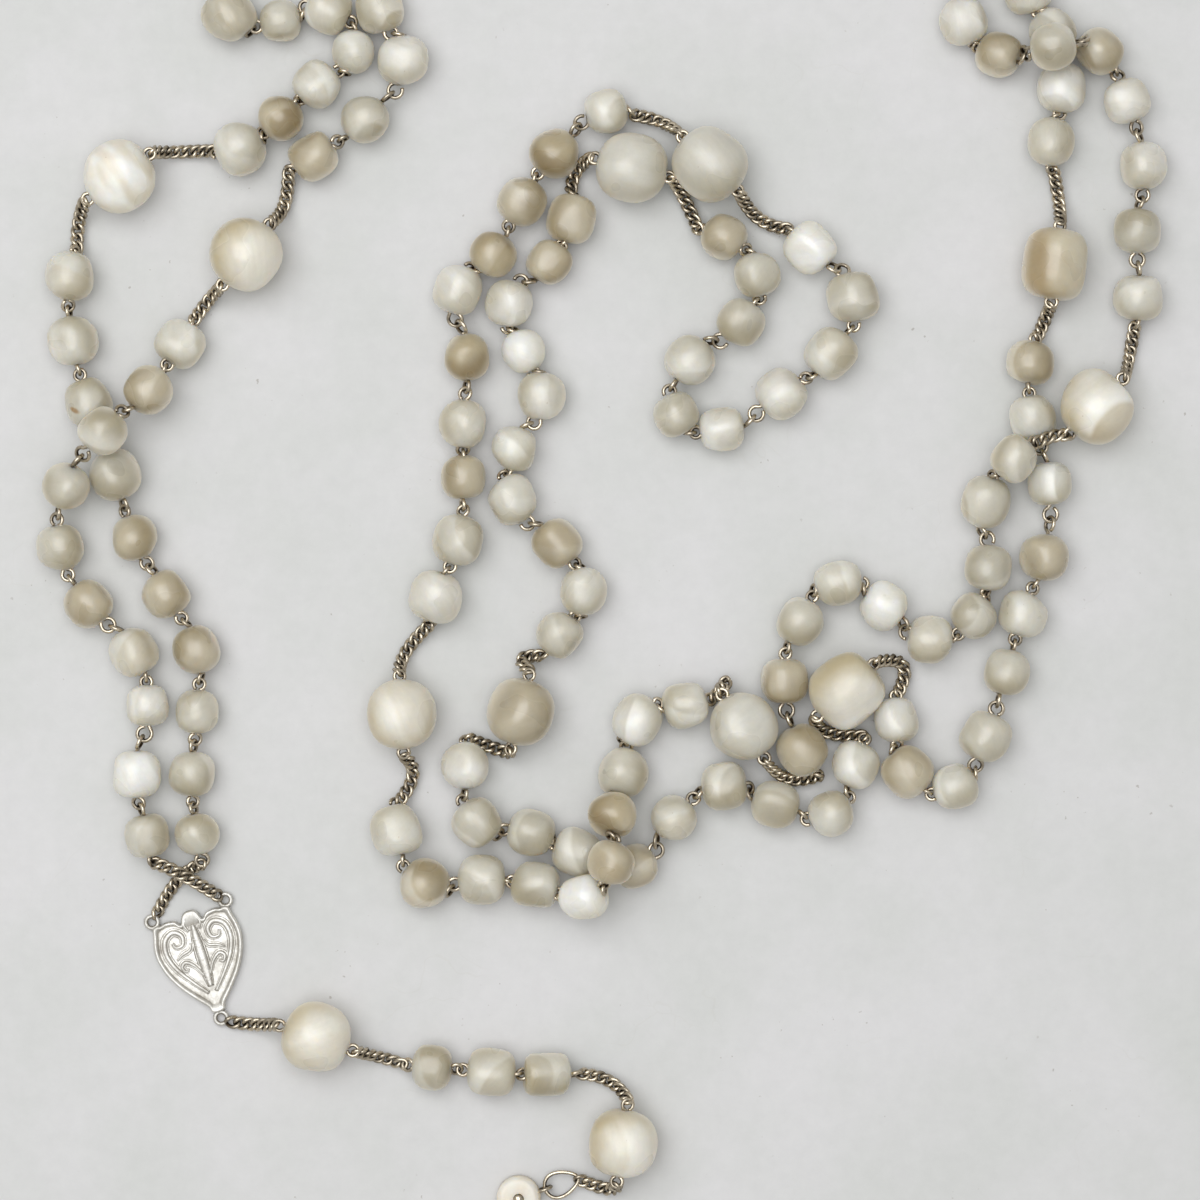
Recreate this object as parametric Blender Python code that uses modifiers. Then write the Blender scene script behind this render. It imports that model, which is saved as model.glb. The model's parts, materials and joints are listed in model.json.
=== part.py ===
"""Fifteen-decade rosary, laid out folded double on a table.

Built in metres with +Z up.  The origin is the centre of the medal's back face and the table is z = 0.
Positions below are in millimetres.  Each strand starts at the medal and runs to the far end of the fold:
the upper strand lies over the lower one where they cross.
"""

import math

import bmesh
import bpy
from mathutils import Matrix, Vector

MM = 0.001

# Beads and wire
SMALL_R = 4.0
SMALL_HALF = 3.85
SMALL_SHOULDER = (2.6, 3.2)
BIG_R = 5.85
BIG_HALF = 5.3
BORE_R = 0.8
WIRE_R = 0.4
EYE_GAP = 0.6
BEAD_SIDES = 6
BIG_SIDES = 12
SHARP = math.radians(65)

# Curb chain, drawn as one twisted bar a run
CHAIN_WIDE = 0.95
CHAIN_THIN = 0.5
CHAIN_STEP = 1.05
CHAIN_TURN = math.radians(45)
PIN_HALF = 6.2
PIN_EYE_R = 0.6
PIN_EYE_AT = BIG_HALF + 0.9
PIVOT_AT = BIG_HALF + 1.3

# Heights of things that rest on the table
SMALL_Z = SMALL_R
BIG_Z = BIG_R
EYE_Z = 3.0
SAG_Z = 1.8

# Hidden far end of the fold: an arch for each strand
ARCH_STEPS = 400
UPPER_RISE, UPPER_SWAY, UPPER_SWINGS = 86.0, 6.0, 4.5
LOWER_RISE, LOWER_SWAY, LOWER_SWINGS = 105.0, 2.0, 3
SPACING = {"ss": 10.2, "se": 5.4, "es": 5.4, "ep": 8.9, "pe": 8.9, "pb": 6.2, "bp": 6.2}
UPPER_RUN = "ssssss" + "epbpe" + "ssssssssss" + "epbpe" + "ss"
LOWER_RUN = "sss" + "epbpe" + "ssssssssss" + "epbpe" + "ssssss"

# Centres of each decade's beads, between its two end eyes: x, y and, where it isn't resting, z
UPPER_1 = [
    (-7.7, 14.5, 3.0), (-8.5, 19.0), (-10.3, 29.3), (-8.5, 40.7), (-10.7, 49.7), (-18.3, 57.7),
    (-23.0, 67.0), (-21.7, 77.2, 6.4), (-15.2, 86.3, 9.8), (-8.0, 93.2, 6.6), (-3.0, 101.0),
    (-1.0, 104.7, 3.0),
]
UPPER_2_START = [(15.0, 130.2, 3.0), (19.2, 132.3), (27.8, 138.5), (34.2, 148.2), (30.2, 156.7)]
UPPER_4_END = [
    (127.5, 154.8), (133.5, 149.2), (141.7, 149.5, 11.4), (150.3, 149.8), (154.8, 141.5),
    (157.5, 130.7), (156.5, 119.8), (156.8, 108.7), (156.3, 104.2, 3.0),
]
UPPER_5 = [
    (139.3, 84.3, 6.5), (135.7, 81.7, 7.4), (131.2, 74.7), (131.7, 63.7), (129.2, 55.7), (122.0, 51.7),
    (114.2, 57.3), (106.7, 61.3), (100.3, 54.7), (97.7, 44.8), (100.8, 33.3), (103.8, 29.1, 3.0),
]
UPPER_6 = [
    (85.8, 41.7, 3.0), (81.2, 40.8), (73.2, 38.3), (70.8, 29.5), (69.0, 22.8, 8.6), (68.8, 15.0, 11.2),
    (64.3, 9.0, 7.8), (56.2, 10.7), (47.3, 11.7), (37.8, 11.0), (33.2, 20.0), (33.3, 24.5, 3.0),
]
UPPER_7 = [
    (38.7, 54.3, 3.0), (39.7, 58.8), (43.3, 68.3), (44.2, 78.7), (44.2, 87.7), (44.8, 98.8),
    (43.3, 110.0), (49.2, 116.0), (54.0, 124.7), (59.5, 132.8), (68.0, 139.8), (72.5, 139.3, 3.0),
]
LOWER_1 = [
    (0.8, 14.3, 3.0), (-0.2, 19.3), (-1.0, 29.3), (-0.2, 39.7), (-0.3, 50.0), (-5.3, 59.3),
    (-10.7, 68.7), (-13.8, 79.2), (-18.3, 91.3), (-20.8, 101.5), (-21.3, 112.2), (-20.3, 116.5, 3.0),
]
LOWER_2_START = [
    (3.0, 133.3, 3.0), (7.0, 133.5), (13.7, 138.7), (19.8, 144.2), (25.8, 149.7), (21.7, 156.7),
    (13.7, 154.8), (5.2, 155.7),
]
LOWER_4_END = [(138.2, 159.9), (142.5, 153.0), (144.0, 143.7), (142.2, 134.7), (142.7, 130.2, 3.0)]
LOWER_5 = [
    (140.0, 102.2, 3.0), (138.7, 97.8), (139.2, 88.7), (142.0, 77.7), (141.0, 65.5), (137.5, 56.0),
    (134.7, 46.3), (131.2, 35.5), (126.2, 27.0), (118.3, 29.7), (116.5, 38.3), (116.7, 42.7, 3.0),
]
LOWER_6 = [
    (111.2, 35.6, 3.0), (109.5, 30.8), (105.5, 22.8), (96.2, 24.2), (87.7, 27.3), (79.2, 22.0),
    (72.8, 14.0), (63.2, 16.3), (55.5, 19.5), (46.5, 21.3), (44.5, 30.7), (45.0, 35.2, 3.0),
]
LOWER_7 = [
    (57.5, 49.0, 3.0), (60.3, 52.5), (64.3, 59.7), (59.8, 67.8), (52.3, 75.0), (52.8, 83.5),
    (57.2, 92.3), (54.2, 99.8), (51.8, 107.7), (58.5, 114.5), (62.2, 121.8), (62.2, 126.5, 3.0),
]
END_DECADE = [
    (83.5, 119.8, 3.0), (87.7, 118.8), (93.2, 112.5), (90.5, 104.5), (82.0, 98.3), (79.7, 89.2),
    (87.3, 86.7), (97.3, 92.7), (105.5, 99.3), (109.2, 108.8), (102.0, 117.0), (98.7, 120.2, 3.0),
]

# Large beads on the visible strands: eye, a point on the chain, bead centre, a point on the chain, eye
UPPER_LINK_1 = [(-1.0, 104.7, 3.0), (1.5, 108.3, 1.8), (8.2, 115.7), (14.3, 124.7, 1.8), (15.0, 130.2, 3.0)]
UPPER_LINK_4 = [(156.3, 104.2, 3.0), (155.5, 99.0, 1.8), (149.5, 90.5), (142.6, 85.6, 6.6), (139.3, 84.3, 6.5)]
UPPER_LINK_5 = [(103.8, 29.1, 3.0), (98.7, 28.4, 1.6), (90.8, 37.3), (88.0, 44.6, 3.2), (85.8, 41.7, 3.0)]
UPPER_LINK_6 = [(33.3, 24.5, 3.0), (35.7, 29.0, 1.8), (34.0, 39.3), (34.6, 49.7, 1.8), (38.7, 54.3, 3.0)]
UPPER_LINK_7 = [(72.5, 139.3, 3.0), (77.2, 138.2, 1.8), (85.3, 130.8), (93.7, 122.0, 1.8), (98.7, 120.2, 3.0)]
LOWER_LINK_1 = [(-20.3, 116.5, 3.0), (-20.2, 121.0, 1.8), (-13.0, 128.7), (-3.5, 133.2, 1.8), (3.0, 133.3, 3.0)]
LOWER_LINK_4 = [(142.7, 130.2, 3.0), (143.7, 125.0, 1.8), (142.8, 114.2), (141.5, 105.4, 1.8), (140.0, 102.2, 3.0)]
LOWER_LINK_5 = [(116.7, 42.7, 3.0), (117.6, 47.4, 1.8), (107.8, 43.3), (105.3, 36.1, 1.6), (111.2, 35.6, 3.0)]
LOWER_LINK_6 = [(45.0, 35.2, 3.0), (50.2, 33.2, 1.8), (53.7, 39.7), (54.0, 48.4, 1.8), (57.5, 49.0, 3.0)]
LOWER_LINK_7 = [(62.2, 126.5, 3.0), (63.0, 129.8, 1.8), (72.3, 130.2), (81.2, 125.2, 1.8), (83.5, 119.8, 3.0)]

# Medal: right half of its outline, from the top lobe down to the neck, in its own upright frame
MEDAL_TILT = math.radians(17)
MEDAL_THICK = 1.7
MEDAL_RECESS = 0.5
MEDAL_CHAMFER = 0.25
MEDAL_SMOOTH = 3
MEDAL_HALF = [
    (0.7, 6.5), (1.45, 5.8), (1.9, 4.7), (2.7, 5.5), (4.2, 5.75), (5.2, 5.5), (5.8, 5.6), (6.6, 5.3),
    (6.9, 4.0), (7.35, 2.2), (7.4, 0.0), (6.6, -2.8), (5.1, -5.5), (3.2, -7.9), (1.5, -9.8), (0.95, -11.0),
]
FIELD_HALF = [
    (1.1, 4.1), (2.7, 4.7), (4.2, 4.95), (5.6, 4.6), (6.1, 3.6), (6.5, 2.0),
    (6.55, 0.0), (5.8, -2.5), (4.4, -5.0), (2.5, -7.3), (0.9, -9.0),
]
RING_R = 1.0
RING_Z = 0.85
RING_STEPS = 16
MEDAL_RINGS = [(-6.4, 6.5), (6.4, 6.5), (0.0, -12.2)]
MEDAL_CHAIN_UPPER = [(-7.7, 14.5, 3.0), (-2.8, 12.6, 4.2), (2.6, 9.3, 1.5)]
MEDAL_CHAIN_LOWER = [(0.8, 14.3, 3.0), (-3.6, 11.4, 1.2), (-7.0, 6.3, 1.3)]

# Pendant, from the medal's lower ring to the cross
PENDANT_CHAIN_1 = [(5.7, -12.6, 1.2), (9.6, -12.6, 1.6)]
PENDANT_BEAD_1 = (19.8, -14.5)
PENDANT_AXIS_1 = Vector((0.947, -0.321, 0)).normalized()
PENDANT_CHAIN_2 = [(30.4, -18.2, 1.8), (34.4, -19.3, 2.6)]
PENDANT_SMALL = [(39.0, -19.5), (48.9, -20.4), (58.2, -20.8)]
PENDANT_CHAIN_3 = [(63.4, -20.8, 2.6), (68.6, -22.2, 1.8)]
PENDANT_BEAD_2 = (70.7, -32.0)
PENDANT_AXIS_2 = Vector((-0.14, -0.99, 0)).normalized()
PENDANT_CHAIN_4 = [(68.4, -40.0, 1.6), (64.6, -38.9, 1.6)]
BAIL_CENTRE = Vector((60.6, -39.3, 1.7))
BAIL_AXIS = Vector((0.944, 0.33, 0)).normalized()
BAIL_LONG, BAIL_WIDE = 2.9, 2.0
BAIL_WIRE_R = 0.35
BAIL_PIVOT_AT = 3.4

# Cross: its top end's centre, and the way its upright runs
CROSS_TOP = (53.4, -41.7)
CROSS_DOWN = Vector((-0.38, -0.925, 0)).normalized()
CROSS_THICK = 3.2
CROSS_CHAMFER = 0.4
CROSS_LONG = 38.0
CROSS_ARM_AT = 12.0
CROSS_ARM = 11.0
CROSS_BAR = 2.4
CROSS_LOBE = 3.7
LOBE_STEPS = 8
CROSS_EYE_AT = 4.55
CROSS_EYE_Z = 1.7
CROSS_EYE_R = 1.2
STUD_R = 0.9
STUD_TALL = 0.5

PEARL = (0.86, 0.82, 0.72, 1.0)
SILVER = (0.60, 0.57, 0.52, 1.0)


def material_for(name, colour, rough, metal):
    mat = bpy.data.materials.new(name + "_material")
    mat.use_nodes = True
    shader = mat.node_tree.nodes["Principled BSDF"]
    shader.inputs["Base Color"].default_value = colour
    shader.inputs["Roughness"].default_value = rough
    shader.inputs["Metallic"].default_value = metal
    return mat


def finish(obj, collection, pearl):
    """Puts a finished object into the collection, shaded smooth, with its own material."""
    collection.objects.link(obj)
    obj.data.shade_smooth()
    obj.data.set_sharp_from_angle(angle=SHARP)
    colour, rough, metal = (PEARL, 0.3, 0.0) if pearl else (SILVER, 0.35, 1.0)
    obj.data.materials.clear()
    obj.data.materials.append(material_for(obj.name, colour, rough, metal))


def hang_from(obj, at):
    """Moves an object's origin to a point on its joint's axis and leaves its shape where it is."""
    local = obj.matrix_basis.inverted() @ (at * MM)
    obj.data.transform(Matrix.Translation(-local))
    obj.location = at * MM


def hang_on_empty(obj, at, collection):
    """Parents a turned object, whose origin is on its own turning axis, to an empty on its joint's axis."""
    pivot = bpy.data.objects.new(obj.name + "_pivot", None)
    pivot.location = at * MM
    pivot.empty_display_size = MM
    collection.objects.link(pivot)
    obj.location -= pivot.location
    obj.parent = pivot


def lofted(name, mesh):
    """An object from a bmesh in millimetres."""
    bmesh.ops.recalc_face_normals(mesh, faces=mesh.faces)
    bmesh.ops.scale(mesh, vec=(MM, MM, MM), verts=mesh.verts)
    data = bpy.data.meshes.new(name)
    mesh.to_mesh(data)
    mesh.free()
    return bpy.data.objects.new(name, data)


def turned(name, profile, closed, centre, along, sides):
    """A profile of (height, radius) points, outer side from the top down, turned about the object's Z axis."""
    mesh = bmesh.new()
    corners = [mesh.verts.new((r * MM, 0, h * MM)) for h, r in profile]
    for a, b in zip(corners, corners[1:]):
        mesh.edges.new((a, b))
    if closed:
        mesh.edges.new((corners[-1], corners[0]))
    data = bpy.data.meshes.new(name)
    mesh.to_mesh(data)
    mesh.free()
    obj = bpy.data.objects.new(name, data)
    obj.location = centre * MM
    obj.rotation_euler = along.to_track_quat("Z", "Y").to_euler()
    spin = obj.modifiers.new("turned", "SCREW")
    spin.steps = spin.render_steps = sides
    spin.use_merge_vertices = True
    spin.merge_threshold = 0.00001
    return obj


def wire_ring(name, centre, rotation, radius, wire, stretch=1.0):
    """A closed ring of round wire, lengthened along its own X axis by stretch."""
    bpy.ops.mesh.primitive_torus_add(
        location=centre * MM, rotation=rotation, major_segments=RING_STEPS, minor_segments=BEAD_SIDES,
        major_radius=radius * MM, minor_radius=wire * MM,
    )
    ring = bpy.context.object
    ring.name = name
    ring.data.transform(Matrix.Diagonal((stretch, 1, 1, 1)))
    for owner in list(ring.users_collection):
        owner.objects.unlink(ring)
    return ring


def mirrored(half):
    """A whole outline from its right half."""
    return half + [(-u, v) for u, v in reversed(half)]


def cut_out(name, outline, thick, chamfer=0.0, kind="POLY"):
    """A flat outline given a thickness, from z = 0 up, and chamfered edges."""
    curve = bpy.data.curves.new(name, "CURVE")
    curve.dimensions = "2D"
    curve.fill_mode = "BOTH"
    curve.extrude = (thick / 2 - chamfer) * MM
    curve.bevel_depth = chamfer * MM
    curve.bevel_resolution = 0
    curve.offset = -chamfer * MM
    curve.resolution_u = MEDAL_SMOOTH
    spline = curve.splines.new(kind)
    spline.use_cyclic_u = True
    if kind == "POLY":
        spline.points.add(len(outline) - 1)
        for p, (x, y) in zip(spline.points, outline):
            p.co = (x * MM, y * MM, 0, 1)
    else:
        spline.bezier_points.add(len(outline) - 1)
        for p, (x, y) in zip(spline.bezier_points, outline):
            p.co = (x * MM, y * MM, 0)
            p.handle_left_type = p.handle_right_type = "AUTO"
    drawn = bpy.data.objects.new(name + "_outline", curve)
    bpy.context.scene.collection.objects.link(drawn)
    bpy.context.view_layer.update()
    ready = drawn.evaluated_get(bpy.context.evaluated_depsgraph_get())
    data = bpy.data.meshes.new_from_object(ready)
    bpy.data.objects.remove(drawn, do_unlink=True)
    mesh = bmesh.new()
    mesh.from_mesh(data)
    bmesh.ops.remove_doubles(mesh, verts=mesh.verts, dist=0.000001)
    bmesh.ops.translate(mesh, vec=(0, 0, thick / 2 * MM), verts=mesh.verts)
    bmesh.ops.recalc_face_normals(mesh, faces=mesh.faces)
    mesh.to_mesh(data)
    mesh.free()
    return bpy.data.objects.new(name, data)


def combine(base, operation, others, cutters):
    """Joins the other objects to base, or cuts them from it, with the exact solver."""
    for other in others:
        cutters.objects.link(other)
        step = base.modifiers.new(other.name, "BOOLEAN")
        step.operation = operation
        step.solver = "EXACT"
        step.object = other
        other.hide_render = True
        other.display_type = "WIRE"
    bpy.context.view_layer.update()


def point(p, z):
    """A point from x, y and perhaps z: z is used where the point states none."""
    return Vector((p[0], p[1], p[2] if len(p) > 2 else z))


def ring_points(centre, along, wide, high, sides, roll=0.0):
    """A ring of points round centre, square to along."""
    side = along.cross(Vector((0, 0, 1))).normalized()
    up = side.cross(along).normalized()
    found = []
    for k in range(sides):
        a = 2 * math.pi * (k + 0.5 * (sides == 4)) / sides
        x, y = wide * math.cos(a), high * math.sin(a)
        c, s = math.cos(roll), math.sin(roll)
        found.append(centre + side * (x * c - y * s) + up * (x * s + y * c))
    return found


def loft(rings):
    """A closed mesh through rings of equally many points, capped at both ends."""
    mesh = bmesh.new()
    rows = [[mesh.verts.new(p) for p in ring] for ring in rings]
    n = len(rows[0])
    for a, b in zip(rows, rows[1:]):
        for k in range(n):
            mesh.faces.new((a[k], a[(k + 1) % n], b[(k + 1) % n], b[k]))
    mesh.faces.new(reversed(rows[0]))
    mesh.faces.new(rows[-1])
    return mesh


def bead_rings(before, centre, after, sides=BEAD_SIDES):
    """Rings of a small bead whose wire comes from one point and goes on to another."""
    along = ((centre - before).normalized() + (after - centre).normalized()).normalized()
    at, radius = SMALL_SHOULDER
    profile = [(-SMALL_HALF, WIRE_R), (-at, radius), (0, SMALL_R), (at, radius), (SMALL_HALF, WIRE_R)]
    turn = math.radians(90)
    return [ring_points(centre + along * x, along, r, r, sides, turn) for x, r in profile]


def strand(points):
    """Beads on their wires between two eyes, as one body."""
    way = [point(p, SMALL_Z) for p in points]
    first, last = (way[1] - way[0]).normalized(), (way[-1] - way[-2]).normalized()
    turn = math.radians(90)
    rings = [ring_points(way[0] + first * EYE_GAP, first, WIRE_R, WIRE_R, BEAD_SIDES, turn)]
    for before, centre, after in zip(way, way[1:], way[2:]):
        rings += bead_rings(before, centre, after)
    rings.append(ring_points(way[-1] - last * EYE_GAP, last, WIRE_R, WIRE_R, BEAD_SIDES, turn))
    return loft(rings)


def bend(start, via, end, t):
    """A point on the parabola from start to end that passes via at its middle."""
    pull = via * 2 - (start + end) / 2
    return start * (1 - t) ** 2 + pull * 2 * t * (1 - t) + end * t**2


def chain_rings(start, via, end):
    """Rings of a twisted bar from start to end."""
    rough = [bend(start, via, end, i / 8) for i in range(9)]
    length = sum((b - a).length for a, b in zip(rough, rough[1:]))
    n = max(3, round(length / CHAIN_STEP))
    rings = []
    for i in range(n + 1):
        t = i / n
        along = bend(start, via, end, min(t + 0.02, 1)) - bend(start, via, end, max(t - 0.02, 0))
        size = (WIRE_R, WIRE_R) if i in (0, n) else (CHAIN_WIDE, CHAIN_THIN)
        rings.append(ring_points(bend(start, via, end, t), along.normalized(), *size, 4, CHAIN_TURN * i))
    return rings


def link(eye_in, via_in, centre, via_out, eye_out):
    """Chain, the pin through a large bead, and chain again.  Returns the mesh and the pin's direction."""
    eye_in, eye_out = point(eye_in, EYE_Z), point(eye_out, EYE_Z)
    via_in, via_out, centre = point(via_in, SAG_Z), point(via_out, SAG_Z), point(centre, BIG_Z)
    along = via_out - via_in
    along.z = 0
    along.normalize()
    pin_in, pin_out = centre - along * PIN_HALF, centre + along * PIN_HALF
    start = eye_in + (via_in - eye_in).normalized() * EYE_GAP
    end = eye_out + (via_out - eye_out).normalized() * EYE_GAP
    rings = chain_rings(start, via_in, pin_in)[:-1]
    for x in (-BIG_HALF - 0.3, BIG_HALF + 0.3):
        rings.append(ring_points(centre + along * x, along, WIRE_R, WIRE_R, 4, 0))
    rings += chain_rings(pin_out, via_out, end)[1:]
    return loft(rings), along


def drilled_bead(name, centre, along):
    """A large bead with a hole through it, on the axis that it spins about."""
    profile = [
        (BIG_HALF, 0.42 * BIG_R), (0.62 * BIG_HALF, 0.84 * BIG_R), (0, BIG_R), (-0.62 * BIG_HALF, 0.84 * BIG_R),
        (-BIG_HALF, 0.42 * BIG_R), (-BIG_HALF, BORE_R), (BIG_HALF, BORE_R),
    ]
    return turned(name, profile, True, centre, along, BIG_SIDES)


def arch(start, end, rise, sway, swings):
    """Points of an arch from start to end that sways to either side as it goes."""
    found = []
    for i in range(ARCH_STEPS + 1):
        t = i / ARCH_STEPS
        a = math.pi * t
        out = sway * math.sin(a) * math.sin(2 * math.pi * swings * t)
        x = start[0] + (end[0] - start[0]) * (1 - math.cos(a)) / 2 - out * math.cos(a)
        y = start[1] + (end[1] - start[1]) * t + rise * math.sin(a) + out * math.sin(a)
        found.append(Vector((x, y, 0)))
    return found


def run_points(path, run):
    """Spreads a run of beads, eyes and pin ends along a path.  Returns (kind, point) for each."""
    kinds = "s" + run + "s"
    steps = [SPACING[a + b] for a, b in zip(kinds, kinds[1:])]
    lengths = [(b - a).length for a, b in zip(path, path[1:])]
    scale = sum(lengths) / sum(steps)
    found, gone, k, want = [], 0.0, 0, 0.0
    heights = {"s": SMALL_Z, "e": EYE_Z, "p": BIG_Z, "b": BIG_Z}
    for kind, step in zip(run, steps):
        want += step * scale
        while gone + lengths[k] < want:
            gone += lengths[k]
            k += 1
        p = path[k].lerp(path[k + 1], (want - gone) / lengths[k])
        found.append((kind, (round(p.x, 3), round(p.y, 3), heights[kind])))
    return found


def hidden_run(before, after, rise, sway, swings, run):
    """The two decades that continue before and after, the one between them, and the two large beads."""
    placed = run_points(arch(before[-1], after[0], rise, sway, swings), run)
    pieces, links, current = [], [], list(before)
    i = 0
    while i < len(placed):
        kind, p = placed[i]
        if kind == "e":
            eye_in, pin_in, big, pin_out, eye_out = (q for _, q in placed[i : i + 5])
            sags = [
                ((a[0] + b[0]) / 2, (a[1] + b[1]) / 2, SAG_Z)
                for a, b in ((eye_in, pin_in), (pin_out, eye_out))
            ]
            pieces.append(current + [eye_in])
            links.append([eye_in, sags[0], big, sags[1], eye_out])
            current = [eye_out]
            i += 5
        else:
            current.append(p)
            i += 1
    pieces.append(current + list(after))
    return pieces, links


def medal_point(u, v, z):
    """A point in the medal's upright frame, turned to the way it lies."""
    c, s = math.cos(MEDAL_TILT), math.sin(MEDAL_TILT)
    return Vector((u * c - v * s, u * s + v * c, z))


def build_medal(collection, cutters):
    """A flat plate with a raised rim and three rings, which lifts about its two upper rings."""
    medal = cut_out("centre_medal", mirrored(MEDAL_HALF), MEDAL_THICK, MEDAL_CHAMFER, "BEZIER")
    recess = cut_out("medal_recess", mirrored(FIELD_HALF), MEDAL_THICK, kind="BEZIER")
    recess.location.z = (MEDAL_THICK - MEDAL_RECESS) * MM
    for piece in (medal, recess):
        piece.rotation_euler.z = MEDAL_TILT
    hang_from(medal, medal_point(*MEDAL_RINGS[0], RING_Z))
    combine(medal, "DIFFERENCE", [recess], cutters)
    rings = [
        wire_ring(f"medal_ring_{i + 1}", medal_point(u, v, RING_Z), (0, 0, MEDAL_TILT), RING_R, WIRE_R)
        for i, (u, v) in enumerate(MEDAL_RINGS)
    ]
    combine(medal, "UNION", rings, cutters)
    finish(medal, collection, pearl=False)


def cross_outline():
    """The cross's outline in its own frame, upright running along -y from its top lobe."""
    middle = (0.0, -CROSS_ARM_AT)
    ends = [(0.0, 0.0, 90), (-CROSS_ARM, middle[1], 180), (0.0, -CROSS_LONG, 270), (CROSS_ARM, middle[1], 0)]
    open_half = math.degrees(math.asin(CROSS_BAR / CROSS_LOBE))
    outline = []
    for x, y, facing in ends:
        for k in range(LOBE_STEPS + 1):
            a = math.radians(facing - (180 - open_half) + (360 - 2 * open_half) * k / LOBE_STEPS)
            outline.append((x + CROSS_LOBE * math.cos(a), y + CROSS_LOBE * math.sin(a)))
        corner = math.radians(facing + 45)
        outline.append((
            middle[0] + math.copysign(CROSS_BAR, math.cos(corner)),
            middle[1] + math.copysign(CROSS_BAR, math.sin(corner)),
        ))
    return outline


def build_cross(collection, cutters):
    """A flat cross with round ends, five studs, and an eye at its top that it lifts about."""
    cross = cut_out("cross", cross_outline(), CROSS_THICK, CROSS_CHAMFER)
    up = -CROSS_DOWN
    cross.location = Vector((*CROSS_TOP, 0)) * MM
    cross.rotation_euler.z = math.atan2(-up.x, up.y)
    studs = []
    for i, (x, y) in enumerate([
        (0, 0), (-CROSS_ARM, -CROSS_ARM_AT), (CROSS_ARM, -CROSS_ARM_AT), (0, -CROSS_LONG), (0, -CROSS_ARM_AT),
    ]):
        foot = cross.matrix_basis @ (Vector((x, y, CROSS_THICK)) * MM) / MM
        profile = [(STUD_TALL, 0), (STUD_TALL, 0.6 * STUD_R), (STUD_TALL - 0.2, STUD_R), (-0.4, STUD_R), (-0.4, 0)]
        studs.append(turned(f"stud_{i + 1}", profile, False, foot, Vector((0, 0, 1)), BIG_SIDES))
    eye_at = Vector((*CROSS_TOP, CROSS_EYE_Z)) + BAIL_AXIS * CROSS_EYE_AT
    upright = (math.pi / 2, 0, math.atan2(BAIL_AXIS.y, BAIL_AXIS.x))
    studs.append(wire_ring("cross_eye", eye_at, upright, CROSS_EYE_R, BAIL_WIRE_R))
    hang_from(cross, eye_at)
    combine(cross, "UNION", studs, cutters)
    finish(cross, collection, pearl=True)


def chain_piece(name, start, via, end, pivot, collection):
    chain = lofted(name, loft(chain_rings(start, via, end)))
    hang_from(chain, pivot)
    finish(chain, collection, pearl=False)


def threaded_bead(number, centre, along, pivot, collection):
    """One of the pendant's large beads on its straight pin, which has a stubby eye at each end."""
    half = [(PIN_EYE_AT, 0), (PIN_EYE_AT, WIRE_R), (PIN_EYE_AT - 0.4, PIN_EYE_R), (BIG_HALF + 0.2, WIRE_R)]
    profile = half + [(-h, r) for h, r in reversed(half)]
    pin = turned(f"pendant_pin_{number}", profile, False, centre, along, BEAD_SIDES)
    hang_on_empty(pin, pivot, collection)
    finish(pin, collection, pearl=False)
    finish(drilled_bead(f"pendant_bead_{number}", centre, along), collection, pearl=True)


def small_bead(name, before, centre, after, pivot, collection):
    """One small bead on its own straight wire, which ends short of the eyes on either side."""
    along = (after - before).normalized()
    reach = (after - before).length / 4 - 0.35
    at, shoulder = SMALL_SHOULDER
    half = [(reach, 0), (reach, WIRE_R), (SMALL_HALF, WIRE_R), (at, shoulder)]
    profile = [*half, (0, SMALL_R), *((-h, r) for h, r in reversed(half))]
    bead = turned(name, profile, False, centre, along, 8)
    hang_on_empty(bead, pivot, collection)
    finish(bead, collection, pearl=True)


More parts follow.
